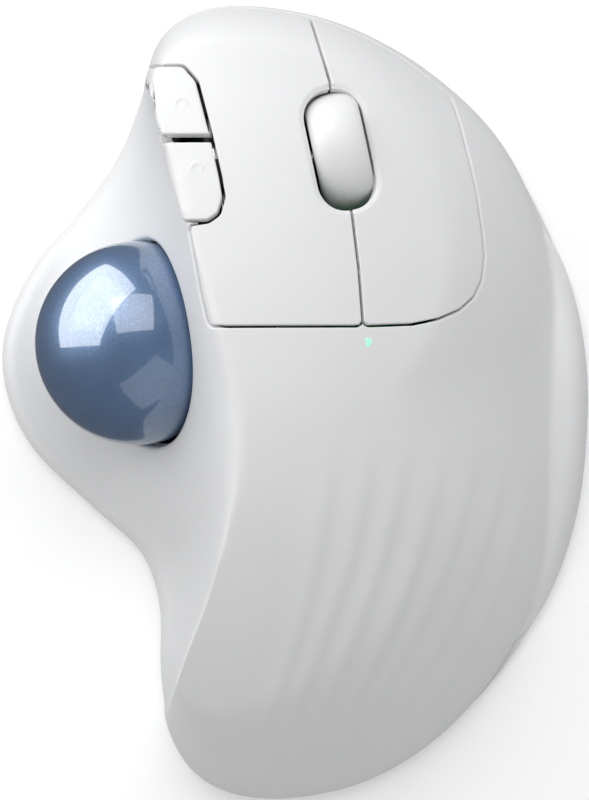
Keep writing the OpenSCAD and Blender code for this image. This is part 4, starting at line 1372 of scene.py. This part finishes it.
    def _sleeve(self, g: Graph, shader: Node, grain: Node, where: Socket) -> Painted:
        """Shrunk metallic sleeve with a coloured end.

        Args:
            g: The material's node tree.
            shader: The Principled shader.
            grain: The shared grain group.
            where: Object coordinates.

        Returns:
            The base colour and the height that the bump reads.
        """
        y = g.add("ShaderNodeSeparateXYZ", {0: where}).outputs[1]
        _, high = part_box("battery_cell")
        end = g.remap(y, high[1] - 0.0145, high[1] - 0.014, (0.0, 1.0))
        g.feed(shader.inputs["Metallic"], g.remap(grain.outputs["Tone"], 0, 1, (0.55, 0.75)))
        return g.mix(end, rgba(self.colour), rgba(self.second)), grain.outputs["Height"]

    def _film(self, g: Graph, shader: Node, grain: Node, where: Socket) -> Painted:
        """Flat flexible film with parallel conductors.

        Args:
            g: The material's node tree.
            shader: The Principled shader.
            grain: The shared grain group.
            where: Object coordinates.

        Returns:
            The base colour and the height that the bump reads.
        """
        lines = g.add("ShaderNodeTexWave", {"Vector": where, "Scale": 330.0}, bands_direction="Z")
        return g.mix(lines.outputs["Fac"], rgba(self.colour), rgba(self.second)), lines.outputs["Fac"]


SHELL = Finish("shell_plastic", Look.MOULDED, (0.80, 0.803, 0.81), (0.88, 0.88, 0.88),
               roughness=0.46, grain_mm=0.3, depth_mm=0.0035, wear=0.05, dust=0.01)
KEYS = Finish("key_plastic", Look.MOULDED, (0.81, 0.813, 0.82), (0.88, 0.88, 0.88),
              roughness=0.43, grain_mm=0.3, depth_mm=0.003, wear=0.05, dust=0.01)
TYRE = Finish("tyre_rubber", Look.MOULDED, (0.82, 0.822, 0.828), (0.9, 0.9, 0.9),
              roughness=0.38, grain_mm=0.2, depth_mm=0.002, wear=0.03, dust=0.01)
BASE = Finish("base_plastic", Look.MOULDED, (0.76, 0.763, 0.77), (0.85, 0.85, 0.85),
              roughness=0.5, grain_mm=0.4, depth_mm=0.008, wear=0.1, dust=0.02)
DARK = Finish("frame_plastic", Look.MOULDED, (0.02, 0.021, 0.023), (0.08, 0.08, 0.08),
              roughness=0.5, grain_mm=0.4, depth_mm=0.01, wear=0.3, dust=0.05)
BLACK = Finish("well_plastic", Look.MOULDED, (0.006, 0.006, 0.007), (0.04, 0.04, 0.04),
               roughness=0.6, grain_mm=0.4, depth_mm=0.01, wear=0.3, dust=0.02)
GREY = Finish("grey_plastic", Look.MOULDED, (0.09, 0.093, 0.1), (0.2, 0.2, 0.2),
              roughness=0.45, grain_mm=0.35, depth_mm=0.006, wear=0.2, dust=0.03)
FOOT = Finish("foot_film", Look.MOULDED, (0.03, 0.04, 0.055), (0.1, 0.12, 0.15),
              roughness=0.25, grain_mm=0.8, depth_mm=0.004, wear=0.4, dust=0.05)
BEAD = Finish("bead_ceramic", Look.MOULDED, (0.72, 0.58, 0.55), (0.8, 0.7, 0.68),
              roughness=0.12, grain_mm=0.5, depth_mm=0.001, wear=0.0, dust=0.0)
CHIP = Finish("chip_resin", Look.MOULDED, (0.012, 0.012, 0.013), (0.05, 0.05, 0.05),
              roughness=0.55, grain_mm=0.15, depth_mm=0.006, wear=0.3, dust=0.05)
PEARL = Finish("ball_pearl", Look.PEARL, (0.1, 0.18, 0.33), (0.2, 0.32, 0.5),
               roughness=0.36, grain_mm=0.16, depth_mm=0.0006, wear=0.0, dust=0.0)
STEEL = Finish("plated_steel", Look.METAL, (0.62, 0.62, 0.63), (0.8, 0.8, 0.8),
               roughness=0.28, grain_mm=0.4, depth_mm=0.002, wear=0.3, dust=0.03)
GOLD = Finish("gilt_leads", Look.METAL, (0.72, 0.70, 0.66), (0.85, 0.84, 0.8),
              roughness=0.25, grain_mm=0.3, depth_mm=0.002, wear=0.2, dust=0.02)
LENS = Finish("lens_plastic", Look.CLEAR, (0.93, 0.97, 0.98), (0.88, 0.94, 0.96),
              roughness=0.06, grain_mm=0.6, depth_mm=0.0008, wear=0.0, dust=0.0)
BOARD = Finish("solder_mask", Look.BOARD, (0.012, 0.085, 0.03), (0.03, 0.16, 0.06),
               roughness=0.3, grain_mm=0.3, depth_mm=0.01, wear=0.1, dust=0.05)
GLOW = Finish("status_light", Look.GLOW, (0.12, 0.85, 0.33), (0.25, 0.95, 0.45),
              roughness=0.25, grain_mm=0.4, depth_mm=0.001, wear=0.0, dust=0.0)
LED = Finish("led_resin", Look.MOULDED, (0.1, 0.5, 0.2), (0.3, 0.7, 0.4),
             roughness=0.2, grain_mm=0.3, depth_mm=0.001, wear=0.0, dust=0.0)
SLEEVE = Finish("cell_sleeve", Look.SLEEVE, (0.03, 0.03, 0.035), (0.62, 0.33, 0.14),
                roughness=0.3, grain_mm=0.6, depth_mm=0.002, wear=0.1, dust=0.02)
FILM = Finish("ribbon_film", Look.FILM, (0.42, 0.17, 0.03), (0.6, 0.33, 0.12),
              roughness=0.3, grain_mm=0.4, depth_mm=0.01, wear=0.0, dust=0.02)


@dataclass
class Assembly:
    """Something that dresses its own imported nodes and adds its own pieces."""

    effects: Effects
    finishes: dict[str, Finish] = field(default_factory=dict)

    def dress(self) -> None:
        """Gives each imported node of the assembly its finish."""
        for node, finish in self.finishes.items():
            obj = bpy.data.objects[node]
            mat = finish.material(self.effects)
            for slot in obj.material_slots:
                slot.material = mat
            if not obj.material_slots:
                obj.data.materials.append(mat)
            LOG.info("%s: %s", node, finish.name)

    def build(self) -> None:
        """Adds the assembly's own pieces."""

    def make(self) -> None:
        """Builds and dresses the assembly."""
        self.build()
        self.dress()

    def paint(self, obj: bpy.types.Object, finish: Finish, slot: str) -> None:
        """Gives a new piece its finish.

        Args:
            obj: The piece.
            finish: Its finish.
            slot: Name of the slot; not used.
        """
        obj.data.materials.clear()
        obj.data.materials.append(finish.material(self.effects))


@dataclass
class Housing(Assembly):
    """Shell, keys, base and feet."""

    plates: tuple[tuple[SkinPlate, Finish, str], ...] = (
        (SkinPlate(Piece.SHELL, "shell_skin", "case", "top_shell", 2.0), SHELL, "shell"),
        (SkinPlate(Piece.LEFT, "left_key_skin", "left_key", "left_button"), KEYS, "keys"),
        (SkinPlate(Piece.RIGHT, "right_key_skin", "right_key", "right_button"), KEYS, "keys"),
        (SkinPlate(Piece.FORWARD, "forward_key_skin", "forward_key", "forward_button", 1.8, 0.5),
         KEYS, "side_keys"),
        (SkinPlate(Piece.BACK, "back_key_skin", "back_key", "back_button", 1.8, 0.5),
         KEYS, "side_keys"))

    def build(self) -> None:
        """Cuts the five outer plates from one surface."""
        skin = Skin(Surface(Shape()), Openings())
        for plate, finish, slot in self.plates:
            self.paint(skin.cut(plate).obj, finish, slot)


@dataclass
class Ball(Assembly):
    """The thumb ball and what carries and watches it."""

    radius: float = 17.0
    cells: int = 40

    def build(self) -> None:
        """Makes the ball as a cube blown up to a sphere, so that it has no poles."""
        low, high = (np.array(v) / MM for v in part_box("trackball"))
        centre = (low + high) / 2
        ticks = np.tan(np.linspace(-math.pi / 4, math.pi / 4, self.cells + 1))
        u, v = (m.ravel() for m in np.meshgrid(ticks, ticks, indexing="ij"))
        points, faces = [], []
        for axis in range(3):
            for sign in (-1, 1):
                p = np.empty((len(u), 3))
                p[:, axis], p[:, (axis + 1) % 3], p[:, (axis + 2) % 3] = sign, u, v
                base = len(points) * len(u)
                points.append(p / np.linalg.norm(p, axis=1)[:, None])
                for i in range(self.cells):
                    for j in range(self.cells):
                        a = base + i * (self.cells + 1) + j
                        quad = [a, a + self.cells + 1, a + self.cells + 2, a + 1]
                        faces.append(quad if sign > 0 else quad[::-1])
        ball = add_mesh("thumb_ball", np.vstack(points) * self.radius + centre, faces, 180)
        mesh = bmesh.new()
        mesh.from_mesh(ball.data)
        bmesh.ops.remove_doubles(mesh, verts=mesh.verts, dist=1e-6)
        mesh.to_mesh(ball.data)
        mesh.free()
        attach(ball, "ball")
        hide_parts("trackball")
        self.paint(ball, PEARL, "ball")
        LOG.info("thumb_ball: %d faces", len(ball.data.polygons))


@dataclass
class Wheel(Assembly):
    """The scroll wheel and its carrier."""

    lean: float = 12.0
    radius: float = 10.0
    half_width: float = 4.5
    crown: float = 2.8

    def build(self) -> None:
        """Sweeps the crowned tyre round the axle."""
        tyre = sweep_ring("wheel_tyre_skin", {"Radius": self.radius, "Half Width": self.half_width,
                                              "Crown": self.crown}, TYRE.material(self.effects))
        low, high = (np.array(v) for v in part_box("wheel_tyre"))
        turn = Matrix.Rotation(math.radians(self.lean), 4, "Z") @ Matrix.Rotation(math.pi / 2, 4, "Y")
        tyre.data.transform(Matrix.Translation((low + high) / 2) @ turn)
        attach(tyre, "wheel")
        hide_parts("wheel_tyre")
        LOG.info("wheel_tyre_skin: %d faces", len(tyre.data.polygons))


@dataclass
class Electronics(Assembly):
    """Boards, switches and small parts."""

    def build(self) -> None:
        """Adds rows of leads beside two chips."""
        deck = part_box("main_board")[1][2]
        for name, (cx, cy), half, count in (("large_chip_leads", (-1.0, 29.5), 3.5, 12),
                                            ("small_chip_leads", (22.0, 33.5), 2.5, 8)):
            obj = lead_rows(name, {"Half Side": half * MM, "Count": count, "Lead Length": 0.8 * MM,
                                   "Lead Width": 0.22 * MM}, GOLD.material(self.effects))
            obj.data.transform(Matrix.Translation((cx * MM, cy * MM, deck + 0.12 * MM)))
            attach(obj, "case")
            LOG.info("%s: %d faces", name, len(obj.data.polygons))


# ---------------------------------------------------------------------------
# Repeated and swept shapes
# ---------------------------------------------------------------------------
def evaluate(name: str, tree: bpy.types.NodeTree, values: dict[str, object]) -> bpy.types.Object:
    """Runs a geometry tree once and keeps its result as a plain mesh.

    Args:
        name: Name of the new piece.
        tree: The geometry tree.
        values: Values for its named inputs.

    Returns:
        The new piece.
    """
    seed = bpy.data.objects.new(name + "_seed", bpy.data.meshes.new(name))
    bpy.context.scene.collection.objects.link(seed)
    modifier = seed.modifiers.new("tree", "NODES")
    modifier.node_group = tree
    sockets = {item.name: item.identifier for item in tree.interface.items_tree
               if item.item_type == "SOCKET" and item.in_out == "INPUT"}
    for label, value in values.items():
        modifier[sockets[label]] = value
    depsgraph = bpy.context.evaluated_depsgraph_get()
    mesh = bpy.data.meshes.new_from_object(seed.evaluated_get(depsgraph))
    seed.modifiers.remove(modifier)
    bpy.data.objects.remove(seed)
    obj = bpy.data.objects.new(name, mesh)
    bpy.context.scene.collection.objects.link(obj)
    return obj


def sweep_ring(name: str, sizes: dict[str, float], mat: bpy.types.Material) -> bpy.types.Object:
    """Sweeps a crowned section round a circle about Z.

    Args:
        name: Name of the piece.
        sizes: Radius, Half Width and Crown, in millimetres.
        mat: Its material.

    Returns:
        The ring.
    """
    g, i, o = new_group("crowned_ring", "GeometryNodeTree",
                        {"Radius": 0.01, "Half Width": 0.0045, "Crown": 0.0028,
                         "Finish": "NodeSocketMaterial"},
                        {"Geometry": "NodeSocketGeometry"})
    inner = g.math("SUBTRACT", i.outputs["Radius"], i.outputs["Crown"])
    ring = g.add("GeometryNodeCurvePrimitiveCircle", {"Resolution": 160, "Radius": inner})
    arc = g.add("GeometryNodeCurveArc", {"Resolution": 33, "Radius": 1.0, "Start Angle": -math.pi / 2,
                                         "Sweep Angle": math.pi})
    place = g.add("ShaderNodeSeparateXYZ", {0: g.add("GeometryNodeInputPosition").outputs[0]})
    rounded = g.math("POWER", g.math("MAXIMUM", place.outputs[0], 0.0), 0.8)
    out = g.math("MULTIPLY", rounded, i.outputs["Crown"])
    side = g.math("MULTIPLY", place.outputs[1], i.outputs["Half Width"])
    section = g.add("GeometryNodeSetPosition", {"Geometry": arc.outputs[0]})
    g.feed(section.inputs["Position"], g.add("ShaderNodeCombineXYZ", {0: out, 1: side}).outputs[0])
    closed = g.add("GeometryNodeSetSplineCyclic", {"Geometry": section.outputs[0], "Cyclic": True})
    swept = g.add("GeometryNodeCurveToMesh", {"Curve": ring.outputs[0], "Profile Curve": closed.outputs[0]})
    smooth = g.add("GeometryNodeSetShadeSmooth", {0: swept.outputs[0]})
    whole = g.add("GeometryNodeRealizeInstances", {0: smooth.outputs[0]})
    last = g.add("GeometryNodeSetMaterial", {"Geometry": whole.outputs[0], "Material": i.outputs["Finish"]})
    g.feed(o.inputs[0], last.outputs[0])
    values: dict[str, object] = {k: v * MM for k, v in sizes.items()}
    obj = evaluate(name, g.tree, {**values, "Finish": mat})
    turn_outwards(obj)
    return obj


def lead_rows(name: str, sizes: dict[str, object], mat: bpy.types.Material) -> bpy.types.Object:
    """Sets bent leads in rows along the four sides of a square chip.

    Args:
        name: Name of the piece.
        sizes: Half Side, Count, Lead Length and Lead Width.
        mat: Its material.

    Returns:
        The leads, as one piece.
    """
    g, i, o = new_group("lead_rows", "GeometryNodeTree",
                        {"Half Side": 0.003, "Count": 8, "Lead Length": 0.0008, "Lead Width": 0.0002,
                         "Finish": "NodeSocketMaterial"}, {"Geometry": "NodeSocketGeometry"})
    half = i.outputs["Half Side"]
    reach = g.math("MULTIPLY", half, 0.85)
    away = g.math("ADD", half, g.math("MULTIPLY", i.outputs["Lead Length"], 0.5))
    start = g.add("ShaderNodeCombineXYZ", {0: away, 1: g.math("MULTIPLY", reach, -1.0)})
    end = g.add("ShaderNodeCombineXYZ", {0: away, 1: reach})
    line = g.add("GeometryNodeMeshLine", {"Count": i.outputs["Count"], "Start Location": start.outputs[0],
                                          "Offset": end.outputs[0]}, mode="END_POINTS")
    thick = g.math("MULTIPLY", i.outputs["Lead Width"], 0.7)
    size = g.add("ShaderNodeCombineXYZ", {0: i.outputs["Lead Length"], 1: i.outputs["Lead Width"],
                                          2: thick})
    foot = g.add("GeometryNodeMeshCube", {"Size": size.outputs[0]})
    row = g.add("GeometryNodeInstanceOnPoints", {"Points": line.outputs[0], "Instance": foot.outputs[0]})
    one = g.add("GeometryNodeRealizeInstances", {0: row.outputs[0]})
    corners = g.add("GeometryNodeMeshLine", {"Count": 4, "Offset": (0.0, 0.0, 0.0)})
    index = g.add("GeometryNodeInputIndex").outputs[0]
    angle = g.add("ShaderNodeCombineXYZ", {2: g.math("MULTIPLY", index, math.pi / 2)})
    turned = g.add("GeometryNodeInstanceOnPoints", {
        "Points": corners.outputs[0], "Instance": one.outputs[0], "Rotation": angle.outputs[0]})
    whole = g.add("GeometryNodeRealizeInstances", {0: turned.outputs[0]})
    last = g.add("GeometryNodeSetMaterial", {"Geometry": whole.outputs[0], "Material": i.outputs["Finish"]})
    g.feed(o.inputs[0], last.outputs[0])
    return evaluate(name, g.tree, {**sizes, "Finish": mat})


def turn_outwards(obj: bpy.types.Object) -> None:
    """Merges doubled points and points every face outwards.

    Args:
        obj: The piece to mend.
    """
    mesh = bmesh.new()
    mesh.from_mesh(obj.data)
    bmesh.ops.remove_doubles(mesh, verts=mesh.verts, dist=1e-7)
    bmesh.ops.recalc_face_normals(mesh, faces=mesh.faces)
    mesh.to_mesh(obj.data)
    mesh.free()


# ---------------------------------------------------------------------------
# Studio
# ---------------------------------------------------------------------------
@dataclass(frozen=True)
class Softbox:
    """One soft light aimed at the object."""

    name: str
    direction: tuple[float, float, float]
    distance: float
    size: tuple[float, float]
    power: float
    roll: float = 0.0
    shine_only: bool = False


@dataclass
class Studio:
    """Pale floor, soft light and the camera."""

    view_width: float = 0.0992
    camera_height: float = 2.005
    floor_half: float = 3000.0
    room_light: float = 0.48
    lamps: tuple[Softbox, ...] = (
        Softbox("key_softbox", (-0.68, 0.65, 0.42), 0.75, (0.75, 0.55), 1.3, 20.0),
        Softbox("front_softbox", (-0.06, 0.56, 0.81), 1.4, (1.1, 1.1), 9.8),
        Softbox("upper_shine", (-0.75, 0.61, 0.3), 0.75, (1.25, 0.95), 17.0, 15.0, True),
        Softbox("lower_shine", (0.25, -0.71, 0.66), 0.9, (0.95, 0.7), 1.3, 25.0, True))

    def camera(self) -> None:
        """Looks straight down through a long lens."""
        data = bpy.data.cameras.new("camera")
        data.sensor_fit = "HORIZONTAL"
        data.sensor_width = 36
        data.lens = 36 * (self.camera_height - 0.005) / self.view_width
        cam = bpy.data.objects.new("camera", data)
        cam.location = (0, 0.0005, self.camera_height)
        bpy.context.scene.collection.objects.link(cam)
        bpy.context.scene.camera = cam

    def lights(self) -> None:
        """Hangs the softboxes and sets the room's own light."""
        for lamp in self.lamps:
            data = bpy.data.lights.new(lamp.name, "AREA")
            data.shape = "RECTANGLE"
            data.size, data.size_y = lamp.size
            data.energy = lamp.power
            obj = bpy.data.objects.new(lamp.name, data)
            obj.location = Vector(lamp.direction).normalized() * lamp.distance
            facing = (-obj.location).to_track_quat("-Z", "Y")
            obj.rotation_euler = (facing @ Quaternion((0, 0, 1), math.radians(lamp.roll))).to_euler()
            obj.visible_diffuse = not lamp.shine_only
            bpy.context.scene.collection.objects.link(obj)
        world = bpy.data.worlds.new("studio")
        world.use_nodes = True
        graph = Graph(world.node_tree)
        back = world.node_tree.nodes["Background"]
        gloss = graph.add("ShaderNodeLightPath").outputs["Is Glossy Ray"]
        graph.feed(back.inputs["Color"], graph.mix(gloss, rgba((1, 1, 1)), rgba((0.25, 0.26, 0.28))))
        back.inputs["Strength"].default_value = self.room_light
        bpy.context.scene.world = world
        bpy.context.scene.view_settings.view_transform = "Standard"

    def floor(self) -> None:
        """Lays the floor."""
        far = self.floor_half
        corners = np.array([(-far, -far, 0), (far, -far, 0), (far, far, 0), (-far, far, 0)])
        obj = add_mesh("floor", corners, [(0, 1, 2, 3)])
        mat = bpy.data.materials.new("floor_paper")
        mat.use_nodes = True
        shader = mat.node_tree.nodes["Principled BSDF"]
        shader.inputs["Base Color"].default_value = rgba((0.9, 0.9, 0.9))
        shader.inputs["Roughness"].default_value = 0.9
        shader.inputs["Emission Color"].default_value = rgba((1, 1, 1))
        shader.inputs["Emission Strength"].default_value = 0.2
        obj.visible_glossy = False
        obj.data.materials.append(mat)

    def make(self) -> None:
        """Sets up everything round the object."""
        self.camera()
        self.lights()
        self.floor()


def main() -> None:
    """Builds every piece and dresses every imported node."""
    Studio().make()
    effects = Effects()
    assemblies: tuple[Assembly, ...] = (
        Housing(effects, {"base_plate": BASE, "battery_door": BASE, "feet": FOOT, "case_screws": STEEL,
                          "left_arm": DARK, "right_arm": DARK, "forward_hinge": DARK, "back_hinge": DARK,
                          "key_frame": DARK, "key_pins": STEEL, "side_frame": DARK, "side_pin": STEEL,
                          "frame_screws": STEEL}),
        Ball(effects, {"ball_cup": BLACK, "ball_beads": BEAD, "sensor_lens": LENS, "optical_sensor": CHIP,
                       "sensor_board": BOARD, "sensor_ribbon": FILM, "cup_screws": STEEL,
                       "sensor_screws": STEEL}),
        Wheel(effects, {"wheel_hub": GREY, "wheel_axle": STEEL, "wheel_encoder": BLACK,
                        "wheel_carrier": BLACK, "wheel_stand": BLACK}),
        Electronics(effects, {"main_board": BOARD, "board_chips": CHIP, "left_switch": DARK,
                              "right_switch": DARK, "middle_switch": DARK, "side_switch_board": BOARD,
                              "side_switches": DARK, "status_led": LED, "light_pipe": GLOW,
                              "power_board": BOARD, "slide_switch": STEEL, "power_slider": GREY,
                              "connect_switch": DARK, "connect_button": GREY, "board_screws": STEEL}),
        Assembly(effects, {"battery_cell": SLEEVE, "battery_spring": STEEL, "battery_plate": STEEL,
                           "usb_receiver": GREY}))
    for assembly in assemblies:
        assembly.make()


if __name__ == "__main__":
    main()
